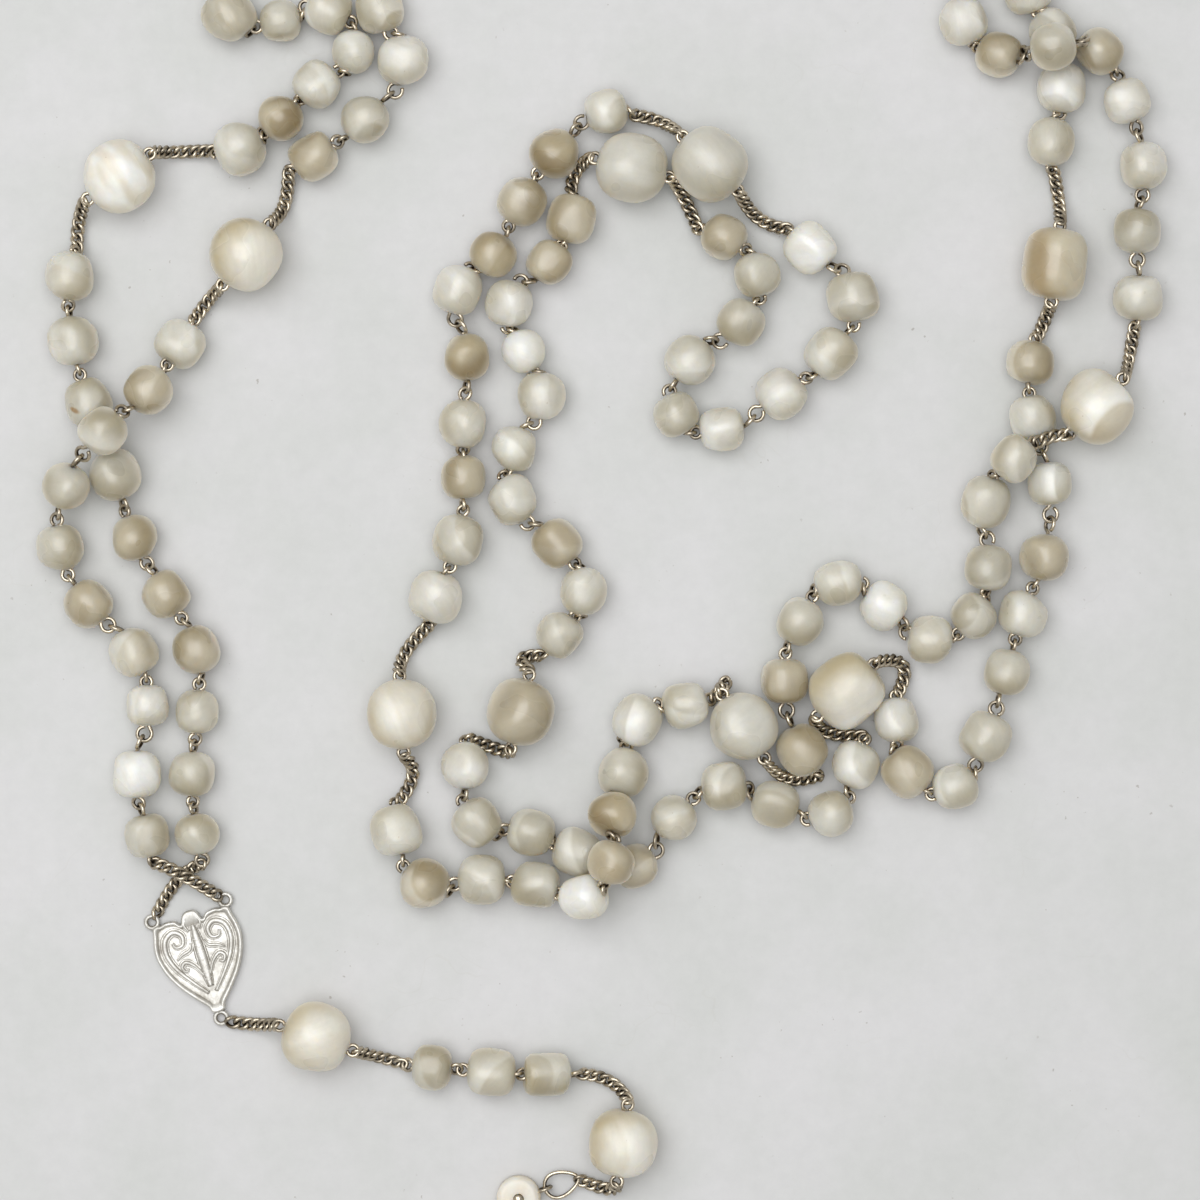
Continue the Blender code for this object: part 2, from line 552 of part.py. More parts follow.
def build_pendant(collection):
    """From the medal down: chain, large bead, chain, three small beads, chain, large bead, chain and bail."""
    bead_1, bead_2 = point(PENDANT_BEAD_1, BIG_Z), point(PENDANT_BEAD_2, BIG_Z)
    reach = BIG_HALF + 1.7
    first, via_1 = (point(p, SAG_Z) for p in PENDANT_CHAIN_1)
    via_2, last = (point(p, SAG_Z) for p in PENDANT_CHAIN_2)
    start, via_3 = (point(p, SAG_Z) for p in PENDANT_CHAIN_3)
    via_4, end = (point(p, SAG_Z) for p in PENDANT_CHAIN_4)
    smalls = [point(p, SMALL_Z) for p in PENDANT_SMALL]
    ends = [smalls[0] * 2 - smalls[1], *smalls, smalls[2] * 2 - smalls[1]]
    ring = medal_point(*MEDAL_RINGS[2], first.z)

    chain_piece("pendant_chain_1", first, via_1, bead_1 - PENDANT_AXIS_1 * reach, (ring + first) / 2, collection)
    threaded_bead(1, bead_1, PENDANT_AXIS_1, bead_1 - PENDANT_AXIS_1 * PIVOT_AT, collection)
    pivot = bead_1 + PENDANT_AXIS_1 * PIVOT_AT
    chain_piece("pendant_chain_2", bead_1 + PENDANT_AXIS_1 * reach, via_2, last, pivot, collection)
    pivots = [(last + (ends[0] + ends[1]) / 2) / 2, (ends[1] + ends[2]) / 2, (ends[2] + ends[3]) / 2]
    for i, pivot in enumerate(pivots):
        small_bead(f"pendant_small_{i + 1}", ends[i], ends[i + 1], ends[i + 2], pivot, collection)
    pivot = ((ends[3] + ends[4]) / 2 + start) / 2
    chain_piece("pendant_chain_3", start, via_3, bead_2 - PENDANT_AXIS_2 * reach, pivot, collection)
    threaded_bead(2, bead_2, PENDANT_AXIS_2, bead_2 - PENDANT_AXIS_2 * PIVOT_AT, collection)
    pivot = bead_2 + PENDANT_AXIS_2 * PIVOT_AT
    chain_piece("pendant_chain_4", bead_2 + PENDANT_AXIS_2 * reach, via_4, end, pivot, collection)

    lying = (0, 0, math.atan2(BAIL_AXIS.y, BAIL_AXIS.x))
    bail = wire_ring("bail", BAIL_CENTRE, lying, BAIL_WIDE, BAIL_WIRE_R, BAIL_LONG / BAIL_WIDE)
    hang_from(bail, BAIL_CENTRE + BAIL_AXIS * BAIL_PIVOT_AT)
    finish(bail, collection, pearl=False)


def build_loop(collection):
    """The fifteen decades and, between them, the large beads on their links."""
    upper_far, upper_links = hidden_run(
        UPPER_2_START, UPPER_4_END, UPPER_RISE, UPPER_SWAY, UPPER_SWINGS, UPPER_RUN
    )
    lower_far, lower_links = hidden_run(
        LOWER_2_START, LOWER_4_END, LOWER_RISE, LOWER_SWAY, LOWER_SWINGS, LOWER_RUN
    )
    decades = {
        "upper": [UPPER_1, *upper_far, UPPER_5, UPPER_6, UPPER_7],
        "lower": [LOWER_1, *lower_far, LOWER_5, LOWER_6, LOWER_7],
    }
    links = {
        "upper": [UPPER_LINK_1, *upper_links, UPPER_LINK_4, UPPER_LINK_5, UPPER_LINK_6, UPPER_LINK_7],
        "lower": [LOWER_LINK_1, *lower_links, LOWER_LINK_4, LOWER_LINK_5, LOWER_LINK_6, LOWER_LINK_7],
    }
    shared_pivots = {
        "upper_link_2": UPPER_2_START[0], "upper_link_3": UPPER_2_START[0], "upper_link_5": UPPER_5[0],
        "upper_link_7": LOWER_7[0], "lower_link_7": LOWER_7[0],
    }
    runs = {f"{side}_decade_{i + 1}": p for side in decades for i, p in enumerate(decades[side])}
    runs["end_decade"] = END_DECADE
    for name, points in runs.items():
        decade = lofted(name, strand(points))
        hang_from(decade, point(points[0], EYE_Z))
        finish(decade, collection, pearl=True)
    for side in links:
        for i, points in enumerate(links[side]):
            name = f"{side}_link_{i + 1}"
            mesh, along = link(*points)
            wire = lofted(name, mesh)
            hang_from(wire, point(shared_pivots.get(name, points[0]), EYE_Z))
            finish(wire, collection, pearl=False)
            bead = drilled_bead(f"{side}_large_bead_{i + 1}", point(points[2], BIG_Z), along)
            finish(bead, collection, pearl=True)
    for name, way in (("upper", MEDAL_CHAIN_UPPER), ("lower", MEDAL_CHAIN_LOWER)):
        start, via, end = (point(p, EYE_Z) for p in way)
        start = start + (via - start).normalized() * EYE_GAP
        chain_piece(f"medal_chain_{name}", start, via, end, start, collection)


def build():
    for obj in list(bpy.data.objects):
        bpy.data.objects.remove(obj, do_unlink=True)
    collection = bpy.data.collections.new("rosary")
    cutters = bpy.data.collections.new("rosary_cutters")
    for c in (collection, cutters):
        bpy.context.scene.collection.children.link(c)
    cutters.hide_render = True
    build_loop(collection)
    build_medal(collection, cutters)
    build_pendant(collection)
    build_cross(collection, cutters)


build()
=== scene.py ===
"""Looks for the fifteen-decade rosary: nacre beads, linked wire eyes, curb chain, centre medal and cross.

The frame is in metres.  Shapes are worked out in millimetres and scaled once, in Shape.keep().
The strands follow the same routes as the CAD model, and every piece rides on the CAD body it belongs to.
"""

import json
import math
import random

import bpy
import numpy as np
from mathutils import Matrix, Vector


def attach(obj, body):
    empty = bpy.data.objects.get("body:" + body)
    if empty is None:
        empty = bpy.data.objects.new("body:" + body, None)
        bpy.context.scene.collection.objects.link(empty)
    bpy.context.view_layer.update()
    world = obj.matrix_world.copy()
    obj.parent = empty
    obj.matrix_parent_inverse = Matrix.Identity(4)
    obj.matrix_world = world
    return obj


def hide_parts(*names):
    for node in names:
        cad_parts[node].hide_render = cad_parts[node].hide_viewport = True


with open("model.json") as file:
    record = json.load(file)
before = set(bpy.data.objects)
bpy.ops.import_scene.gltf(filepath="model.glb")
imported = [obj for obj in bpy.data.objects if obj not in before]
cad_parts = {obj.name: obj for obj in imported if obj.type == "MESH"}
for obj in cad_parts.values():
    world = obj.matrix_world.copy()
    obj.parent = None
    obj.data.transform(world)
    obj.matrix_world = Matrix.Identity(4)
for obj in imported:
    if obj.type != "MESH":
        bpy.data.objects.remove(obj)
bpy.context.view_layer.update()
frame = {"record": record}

MM = 0.001
UP = Vector((0, 0, 1))
TURN = 6.28  # about a full turn, for random angles
BODIES = frame["record"]["behaviour"]["bodies"]
HOME = {node: body for body, nodes in BODIES.items() for node in nodes}

# Beads, wire and chain, in millimetres
SMALL_R = 4.0
BIG_R = 5.85
HOLE_R = 0.45
WIRE_R = 0.33
EYE_PAST = 1.15  # how far an eye reaches past the point where it meets the next, in wire radii
EYE_LEAST, EYE_MOST = 0.92, 1.2
LINK_R = 0.34
LINK_PITCH = 1.45
LINK_HALF_WIDE = 0.85
LINK_TWIST = math.radians(45)
LINK_OVERLAP = 0.02
CHAIN_STEPS = 60
PIN_MEET = 6.9
SMALL_Z = SMALL_R
BIG_Z = BIG_R
EYE_Z = 3.0
SAG_Z = 1.8

# Hidden far end of the fold: each strand's arch, as its rise, its sway and the number of its swings
ARCH_STEPS = 400
UPPER_ARCH = (86.0, 6.0, 4.5)
LOWER_ARCH = (105.0, 2.0, 3)
SPACING = {"ss": 10.2, "se": 5.4, "es": 5.4, "ep": 8.9, "pe": 8.9, "pb": 6.2, "bp": 6.2}
UPPER_RUN = "ssssss" + "epbpe" + "ssssssssss" + "epbpe" + "ss"
LOWER_RUN = "sss" + "epbpe" + "ssssssssss" + "epbpe" + "ssssss"

# Centres of each decade's beads, between its two end eyes: x, y and, where it isn't the usual one, z
UPPER_1 = [
    (-7.7, 14.5), (-8.5, 19.0), (-10.3, 29.3), (-8.5, 40.7), (-10.7, 49.7), (-18.3, 57.7),
    (-23.0, 67.0), (-21.7, 77.2, 6.4), (-15.2, 86.3, 9.8), (-8.0, 93.2, 6.6), (-3.0, 101.0),
    (-1.0, 104.7),
]
UPPER_2_START = [(15.0, 130.2), (19.2, 132.3), (27.8, 138.5), (34.2, 148.2), (30.2, 156.7)]
UPPER_4_END = [
    (127.5, 154.8), (133.5, 149.2), (141.7, 149.5, 11.4), (150.3, 149.8), (154.8, 141.5),
    (157.5, 130.7), (156.5, 119.8), (156.8, 108.7), (156.3, 104.2),
]
UPPER_5 = [
    (139.3, 84.3, 6.5), (135.7, 81.7, 7.4), (131.2, 74.7), (131.7, 63.7), (129.2, 55.7), (122.0, 51.7),
    (114.2, 57.3), (106.7, 61.3), (100.3, 54.7), (97.7, 44.8), (100.8, 33.3), (103.8, 29.1),
]
UPPER_6 = [
    (85.8, 41.7), (81.2, 40.8), (73.2, 38.3), (70.8, 29.5), (69.0, 22.8, 8.6), (68.8, 15.0, 11.2),
    (64.3, 9.0, 7.8), (56.2, 10.7), (47.3, 11.7), (37.8, 11.0), (33.2, 20.0), (33.3, 24.5),
]
UPPER_7 = [
    (38.7, 54.3), (39.7, 58.8), (43.3, 68.3), (44.2, 78.7), (44.2, 87.7), (44.8, 98.8),
    (43.3, 110.0), (49.2, 116.0), (54.0, 124.7), (59.5, 132.8), (68.0, 139.8), (72.5, 139.3),
]
LOWER_1 = [
    (0.8, 14.3), (-0.2, 19.3), (-1.0, 29.3), (-0.2, 39.7), (-0.3, 50.0), (-5.3, 59.3),
    (-10.7, 68.7), (-13.8, 79.2), (-18.3, 91.3), (-20.8, 101.5), (-21.3, 112.2), (-20.3, 116.5),
]
LOWER_2_START = [
    (3.0, 133.3), (7.0, 133.5), (13.7, 138.7), (19.8, 144.2), (25.8, 149.7), (21.7, 156.7),
    (13.7, 154.8), (5.2, 155.7),
]
LOWER_4_END = [(138.2, 159.9), (142.5, 153.0), (144.0, 143.7), (142.2, 134.7), (142.7, 130.2)]
LOWER_5 = [
    (140.0, 102.2), (138.7, 97.8), (139.2, 88.7), (142.0, 77.7), (141.0, 65.5), (137.5, 56.0),
    (134.7, 46.3), (131.2, 35.5), (126.2, 27.0), (118.3, 29.7), (116.5, 38.3), (116.7, 42.7),
]
LOWER_6 = [
    (111.2, 35.6), (109.5, 30.8), (105.5, 22.8), (96.2, 24.2), (87.7, 27.3), (79.2, 22.0),
    (72.8, 14.0), (63.2, 16.3), (55.5, 19.5), (46.5, 21.3), (44.5, 30.7), (45.0, 35.2),
]
LOWER_7 = [
    (57.5, 49.0), (60.3, 52.5), (64.3, 59.7), (59.8, 67.8), (52.3, 75.0), (52.8, 83.5),
    (57.2, 92.3), (54.2, 99.8), (51.8, 107.7), (58.5, 114.5), (62.2, 121.8), (62.2, 126.5),
]
END_DECADE = [
    (83.5, 119.8), (87.7, 118.8), (93.2, 112.5), (90.5, 104.5), (82.0, 98.3), (79.7, 89.2),
    (87.3, 86.7), (97.3, 92.7), (105.5, 99.3), (109.2, 108.8), (102.0, 117.0), (98.7, 120.2),
]

# Large beads on the visible strands: eye, a point on the chain, bead centre, a point on the chain, eye.
# A height is left out where it is the usual one.  Each strand's hidden links follow its first one.
UPPER_LINKS = [
    [(-1.0, 104.7), (1.5, 108.3), (8.2, 115.7), (14.3, 124.7), (15.0, 130.2)],
    [(156.3, 104.2), (155.5, 99.0), (149.5, 90.5), (142.6, 85.6, 6.6), (139.3, 84.3, 6.5)],
    [(103.8, 29.1), (98.7, 28.4, 1.6), (90.8, 37.3), (88.0, 44.6, 3.2), (85.8, 41.7)],
    [(33.3, 24.5), (35.7, 29.0), (34.0, 39.3), (34.6, 49.7), (38.7, 54.3)],
    [(72.5, 139.3), (77.2, 138.2), (85.3, 130.8), (93.7, 122.0), (98.7, 120.2)],
]
LOWER_LINKS = [
    [(-20.3, 116.5), (-20.2, 121.0), (-13.0, 128.7), (-3.5, 133.2), (3.0, 133.3)],
    [(142.7, 130.2), (143.7, 125.0), (142.8, 114.2), (141.5, 105.4), (140.0, 102.2)],
    [(116.7, 42.7), (117.6, 47.4), (107.8, 43.3), (105.3, 36.1, 1.6), (111.2, 35.6)],
    [(45.0, 35.2), (50.2, 33.2), (53.7, 39.7), (54.0, 48.4), (57.5, 49.0)],
    [(62.2, 126.5), (63.0, 129.8), (72.3, 130.2), (81.2, 125.2), (83.5, 119.8)],
]

# Medal: right half of its outline and of its field's, from the top lobe down to the neck, in its own
# upright frame
MEDAL_TILT = math.radians(17)
MEDAL_FIELD_Z = 1.28
MEDAL_HALF = [
    (0.7, 6.5), (1.45, 5.8), (1.9, 4.7), (2.7, 5.5), (4.2, 5.75), (5.2, 5.5), (5.8, 5.6), (6.6, 5.3),
    (6.9, 4.0), (7.35, 2.2), (7.4, 0.0), (6.6, -2.8), (5.1, -5.5), (3.2, -7.9), (1.5, -9.8), (0.95, -11.0),
]
MEDAL_FIELD = [
    (0.35, 4.05), (0.9, 4.0), (1.9, 3.95), (2.9, 4.7), (4.2, 4.95), (5.0, 4.8), (5.4, 4.75), (5.85, 4.4),
    (6.1, 3.6), (6.5, 2.0), (6.55, 0.0), (5.8, -2.5), (4.4, -5.0), (2.5, -7.3), (1.0, -8.9), (0.4, -9.6),
]
# Its section, as place, height and darkening: in from the outline, from the rim's crest to the field, and
# scaled down within the field.  The darkening is painted shade low on the outer wall, and oxide with
# painted shade in the corner round the field
MEDAL_CREST = 0.36
MEDAL_EDGE = [
    (0.3, 0.0, 0.6), (0.1, 0.08, 0.7), (0.0, 0.3, 0.6), (0.0, 1.25, 0.15), (0.06, 1.5, 0.0),
    (0.2, 1.66, 0.0),
]
MEDAL_SLOPE = [
    (0.0, 1.7, 0.0), (0.3, 1.66, 0.0), (0.62, 1.5, 0.12), (0.9, 1.34, 0.35), (1.0, MEDAL_FIELD_Z, 0.42),
]
MEDAL_FLOOR = [(0.97, MEDAL_FIELD_Z, 0.22), (0.92, MEDAL_FIELD_Z, 0.08)]
MEDAL_RINGS = [(-6.4, 6.5), (6.4, 6.5), (0.0, -12.2)]
MEDAL_NECKS = [(-5.8, 5.3), (5.8, 5.3), (0.0, -10.9)]
RING_R = 1.0
RING_WIRE = 0.36
RING_Z = 0.85
MEDAL_CHAIN_UPPER = [(-7.7, 14.5, 3.0), (-2.8, 12.6, 4.2), (2.6, 9.3, 1.5)]
MEDAL_CHAIN_LOWER = [(0.8, 14.3, 3.0), (-3.6, 11.4, 1.2), (-7.0, 6.3, 1.3)]
# Scrollwork on the medal's right half: each scroll's route and its greatest width
SCROLLS = [
    ([(0.6, -7.6), (2.6, -5.2), (4.6, -2.4), (5.6, 0.4), (5.2, 2.8), (3.6, 3.8), (2.3, 2.9), (2.5, 1.4),
      (3.7, 1.2), (4.1, 2.1)], 0.95),
    ([(0.5, -4.6), (1.6, -2.6), (2.9, -1.6), (3.7, -2.2), (3.3, -3.1), (2.6, -2.8)], 0.7),
    ([(1.1, 1.2), (1.7, 0.2), (3.0, -0.2), (4.2, -0.9)], 0.6),
    ([(0.9, 3.2), (1.4, 4.4), (0.8, 5.4)], 0.55),
]
LEAF = [(0.0, -6.6), (0.0, -4.0), (0.0, -1.0), (0.0, 2.0), (0.0, 4.2)]
LEAF_WIDE = 1.7
RELIEF = 0.42
# How much wider and how high the dark strip under each scroll is: a painted shadow round it
SHADE_EDGE, SHADE_HIGH = 0.6, 0.03

# Pendant, from the medal's lower ring to the cross
PENDANT_CHAIN_1 = [(4.75, -12.2, 1.2), (9.3, -12.7, 1.6)]
PENDANT_BEAD_1 = (19.8, -14.5)
PENDANT_AXIS_1 = Vector((0.947, -0.321, 0)).normalized()
PENDANT_CHAIN_2 = [(30.4, -18.2, 1.8), (34.4, -19.3, 2.6)]
PENDANT_SMALL = [(39.0, -19.5), (48.9, -20.4), (58.2, -20.8)]
PENDANT_TONES = "gcc"
PENDANT_SIZES = [(3.85, 3.3, 2.6), (4.0, 4.02, 3.2), (3.6, 3.9, 5.0)]
PENDANT_CHAIN_3 = [(63.4, -20.8, 2.6), (68.6, -22.2, 1.8)]
PENDANT_BEAD_2 = (70.7, -32.0)
PENDANT_AXIS_2 = Vector((-0.14, -0.99, 0)).normalized()
PENDANT_CHAIN_4 = [(68.2, -40.2, 1.6), (63.2, -38.5, 1.6)]
PENDANT_MEET = 7.0
BAIL_CENTRE = Vector((60.6, -39.3, 1.7))
BAIL_AXIS = Vector((0.944, 0.33, 0)).normalized()
BAIL_LONG, BAIL_WIDE = 2.9, 2.0

# Cross: its top end's centre, and the way its upright runs
CROSS_TOP = (53.4, -41.7)
CROSS_DOWN = Vector((-0.38, -0.925, 0)).normalized()
CROSS_THICK = 3.2
CROSS_LONG = 38.0
CROSS_ARM_AT = 12.0
CROSS_ARM = 11.0
CROSS_BAR = 2.4
CROSS_LOBE = 3.7
CROSS_EYE_AT = 4.55
CROSS_EYE_R, CROSS_EYE_WIRE = 1.2, 0.3
CROSS_ENDS = [(0.0, 0.0), (-CROSS_ARM, -CROSS_ARM_AT), (0.0, -CROSS_LONG), (CROSS_ARM, -CROSS_ARM_AT)]
# Its bright colour for the top face, painted as light from above, and its rim colour for the sides
CROSS_TONE = ((0.92, 0.88, 0.825), (0.81, 0.765, 0.69))
# Its section, as distance in from the outline and height, and a stud's, as radius, height and darkening,
# which is painted shade and oxide round its foot
CROSS_PROFILE = [
    (0.35, 0.0), (0.1, 0.1), (0.0, 0.35), (0.0, 2.3), (0.1, 2.68), (0.28, 2.94), (0.55, 3.12),
    (0.9, CROSS_THICK), (1.3, CROSS_THICK),
]
STUD = [
    (0.9, -0.3, 0.9), (0.9, 0.06, 0.9), (0.828, 0.14, 0.3), (0.666, 0.3, 0.1), (0.45, 0.42, 0.0),
    (0.18, 0.5, 0.0),
]
STUD_SIDES = 24

# Light and camera, in metres
VIEW_CENTRE = (0.067, 0.0583, 0.0)
VIEW_WIDE = 0.2
LENS, SENSOR = 120.0, 36.0
ZENITH, HORIZON = (0.985, 0.995, 1.0), (1.0, 0.92, 0.78)
SKY_STRENGTH = 0.43
LAMPS = [
    ("key_light", (-0.08, 0.16, 0.95), 1.0, 6.8),
    ("fill_light", (-0.45, 0.5, 0.7), 0.35, 0.5),
]

# Looks of the beads.  A tone is its bright colour and its rim colour, in sRGB: the bright colour, on the
# side that faces mostly up, is the nacre's paler tone with painted sheen and light from above
TONES = {
    "v": ((0.926, 0.923, 0.908), (0.879, 0.873, 0.834)),
    "w": ((0.85, 0.845, 0.822), (0.774, 0.762, 0.712)),
    "p": ((0.821, 0.817, 0.786), (0.73, 0.713, 0.649)),
    "c": ((0.769, 0.76, 0.717), (0.677, 0.653, 0.576)),
    "t": ((0.73, 0.7, 0.624), (0.62, 0.576, 0.474)),
    "d": ((0.685, 0.644, 0.543), (0.556, 0.497, 0.375)),
    "g": ((0.738, 0.728, 0.681), (0.668, 0.646, 0.576)),
    "a": ((0.883, 0.875, 0.842), (0.754, 0.71, 0.592)),
    "h": ((0.79, 0.765, 0.69), (0.675, 0.61, 0.485)),
}
# How strongly a tone shows its bright band of painted sheen, where that is less than fully
GLEAM = {"p": 0.75, "c": 0.6, "g": 0.4, "t": 0.4, "d": 0.35}
# Small beads: their radii, and each decade's tones and sizes in order
SIZES = {"s": 3.65, "m": 3.95, "l": 4.2, "x": 4.4}
DECADES = {
    "upper_decade_1": ("cvwptccctp", "smsmmmmmmm"),
    "upper_decade_2": ("tgwcptcwcg", "mmlmmsmlmm"),
    "upper_decade_3": ("ctpcgwtcpc", "mlmmlmsmml"),
    "upper_decade_4": ("pcwtgtwwgp", "msmsmmmmmm"),
    "upper_decade_5": ("ccggpvpctt", "slmmmmmmml"),
    "upper_decade_6": ("pwcdtvcctp", "mllmmmmlll"),
    "upper_decade_7": ("wctpdwdtdp", "xlsmmmmmls"),
    "lower_decade_1": ("ccctttgcpp", "smsmmmlmll"),
    "lower_decade_2": ("pdpppccctp", "xmmsmslmmm"),
    "lower_decade_3": ("cptcwgcptc", "mmlmsmmlmm"),
    "lower_decade_4": ("tcpwcgccwc", "mlmmsmmmlm"),
    "lower_decade_5": ("tpptpccptw", "mmslmmlmls"),
    "lower_decade_6": ("ppgcptcgcw", "mmmmmsmmmm"),
    "lower_decade_7": ("cptpppvwtt", "mmmmmmsmsm"),
    "end_decade": ("tccpgwwpcv", "mmmlssllxm"),
}
# Large beads: tone, the way their bright side of painted sheen and top light faces (x, y, z), the strength
# of a bright band of painted sheen across it, and radius, half length and squareness
LARGE_LOOKS = {
    "upper_large_bead_1": ("a", (0.35, -0.35, 0.9), 0.1, 6.2, 6.0, 2.1),
    "upper_large_bead_2": ("c", (0.2, 0.3, 0.9), 0.3, 5.8, 5.5, 2.5),
    "upper_large_bead_3": ("a", (-0.3, 0.2, 0.9), 0.4, 5.8, 5.6, 2.4),
    "upper_large_bead_4": ("a", (0.1, 0.35, 1.0), 0.9, 6.0, 5.9, 2.3),
    "upper_large_bead_5": ("p", (0.1, 0.0, 1.0), 0.0, 5.7, 5.7, 2.2),
    "upper_large_bead_6": ("a", (0.4, 0.2, 1.0), 0.3, 5.85, 5.85, 2.2),
    "upper_large_bead_7": ("p", (-0.1, 0.5, 0.9), 0.0, 6.0, 6.2, 2.3),
    "lower_large_bead_1": ("v", (0.1, 0.1, 1.0), 0.5, 5.9, 5.9, 2.2),
    "lower_large_bead_2": ("p", (0.3, 0.0, 0.9), 0.2, 5.8, 5.5, 2.5),
    "lower_large_bead_3": ("t", (0.0, 0.3, 0.9), 0.5, 5.8, 5.6, 2.3),
    "lower_large_bead_4": ("h", (0.75, 0.1, 0.65), 0.1, 5.3, 5.9, 3.2),
    "lower_large_bead_5": ("a", (0.35, -0.6, 0.7), 0.7, 5.8, 5.9, 3.0),
    "lower_large_bead_6": ("t", (-0.2, 0.0, 1.0), 0.0, 5.6, 5.5, 2.4),
    "lower_large_bead_7": ("p", (-0.3, 0.2, 0.9), 0.1, 5.7, 5.9, 2.3),
    "pendant_bead_1": ("a", (0.4, -0.2, 0.9), 0.2, 5.85, 5.6, 2.3),
    "pendant_bead_2": ("a", (0.35, -0.35, 0.87), 0.3, 5.85, 5.6, 2.3),
}
STRIPED = "lower_large_bead_1"
STAINED = "lower_decade_1_7"

# Colours within the nacre and on the floor, linear
GROWTH_TINT = (0.87, 0.83, 0.76, 1)
LAYER_TINT = (0.895, 0.85, 0.765, 1)
# Painted sheen of the bright band
GLEAM_COLOUR = (0.96, 0.95, 0.905, 1)
# Painted glow on the beads' sides, as of light through the nacre
RIM_GLOW_COLOUR = (0.86, 0.81, 0.70, 1)
SPECK_COLOUR = (0.30, 0.20, 0.11, 1)
STAIN_COLOUR = (0.30, 0.17, 0.05, 1)
STAIN_AT = (0.93, 0.28, 0.1)
# Painted shade inside the drill holes
HOLE_SHADE_COLOUR = (0.10, 0.07, 0.04, 1)
FLOOR_COLOURS = (0.640, 0.650, 0.640, 1), (0.694, 0.692, 0.700, 1)
FLOOR_SPECK = (0.34, 0.31, 0.28, 1)
FLOOR_FIBRE = (0.52, 0.50, 0.45, 1)

# Bead mesh
BEAD_RINGS, BEAD_SEGMENTS = 21, 30
BIG_RINGS, BIG_SEGMENTS = 29, 44
FACET_SOFTNESS = 0.34
FACET_CUT = (0.915, 0.985)
WAVINESS = 0.012
# Rings inside a drill hole, as depth and radius, and how much painted shade darkens the three outermost rows
HOLE = [(1.1, 0.36), (0.12, 0.38)]
HOLE_SHADE = [1.0, 0.75, 0.3]


class Shape:
    """A mesh that grows by grids of points, each with its own values for the material to read."""

    def __init__(self):
        self.points, self.faces, self.values, self.count = [], [], [], 0

    def grid(self, rows, looped=False, **values):
        """Adds rows of points, each row a ring: joined end to end if looped, else closed by caps.

        A value is a number or colour for all the points, or an array of them that fits the rows.
        """
        rows = np.asarray(rows, float)
        r, n = rows.shape[:2]
        index = self.count + np.arange(r * n).reshape(r, n)
        below = index if looped else index[:-1]
        above = np.roll(index, -1, axis=0) if looped else index[1:]
        around = (below, np.roll(below, -1, axis=1), np.roll(above, -1, axis=1), above)
        self.faces += np.stack(around, -1).reshape(-1, 4).tolist()
        if not looped:
            self.faces += [index[0, ::-1].tolist(), index[-1].tolist()]
        self.points.append(rows.reshape(-1, 3))
        spread = {}
        for key, value in values.items():
            colour = np.shape(value)[-1:] if np.ndim(value) % 2 else ()
            spread[key] = np.broadcast_to(value, (r, n, *colour))
        self.values.append(spread)
        self.count += r * n

    def keep(self, name, body, material, slot, replaced=(), sharp=None):
        """Makes the finished object, in metres, which rides on a body and stands for CAD nodes."""
        data = bpy.data.meshes.new(name)
        data.from_pydata((np.vstack(self.points) * MM).tolist(), [], self.faces)
        for key in sorted({k for v in self.values for k in v}):
            joined = np.concatenate([v[key].reshape(-1, *v[key].shape[2:]) for v in self.values])
            joined = joined.astype(np.float32)
            kind = {1: "FLOAT", 2: "FLOAT_VECTOR"}[joined.ndim]
            attribute = data.attributes.new(key, kind, "POINT")
            attribute.data.foreach_set("value" if joined.ndim == 1 else "vector", joined.ravel())
        data.materials.append(material)
        data.shade_smooth()
        if sharp:
            data.set_sharp_from_angle(angle=math.radians(sharp))
        data.update()
        obj = bpy.data.objects.new(name, data)
        bpy.context.scene.collection.objects.link(obj)
        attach(obj, body)
        if replaced:
            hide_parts(*replaced)


def linear(colour):
    """An sRGB colour, none of it near black, as the linear one that shaders and attributes hold."""
    return np.array([((c + 0.055) / 1.055) ** 2.4 for c in colour])


def frame_on(along, roll=0.0):
    """Side and up directions square to along, turned about it by roll."""
    side = along.cross(UP).normalized()
    up = side.cross(along).normalized()
    c, s = math.cos(roll), math.sin(roll)
    return side * c + up * s, up * c - side * s


def point(p, z):
    """A point from x, y and perhaps z: z is used where the point states none."""
    return Vector((p[0], p[1], p[2] if len(p) > 2 else z))


def bend(start, via, end, t):
    """A point on the parabola from start to end that passes via at its middle."""
    pull = via * 2 - (start + end) / 2
    return start * (1 - t) ** 2 + pull * 2 * t * (1 - t) + end * t**2


def flatten(points, rng, radius, count, cut):
    """Presses soft flats, like those of a tumbled bead, into points round the origin."""
    for _ in range(count):
        flat = np.array([rng.gauss(0, 0.6), rng.gauss(0, 1), rng.gauss(0, 1)])
        flat /= np.linalg.norm(flat)
        away = points @ flat
        proud = away - away.max() * rng.uniform(*cut)
        depth = FACET_SOFTNESS * radius / 4 * np.logaddexp(0, proud / (FACET_SOFTNESS * radius / 4))
        points = points - depth[..., None] * flat
    return points


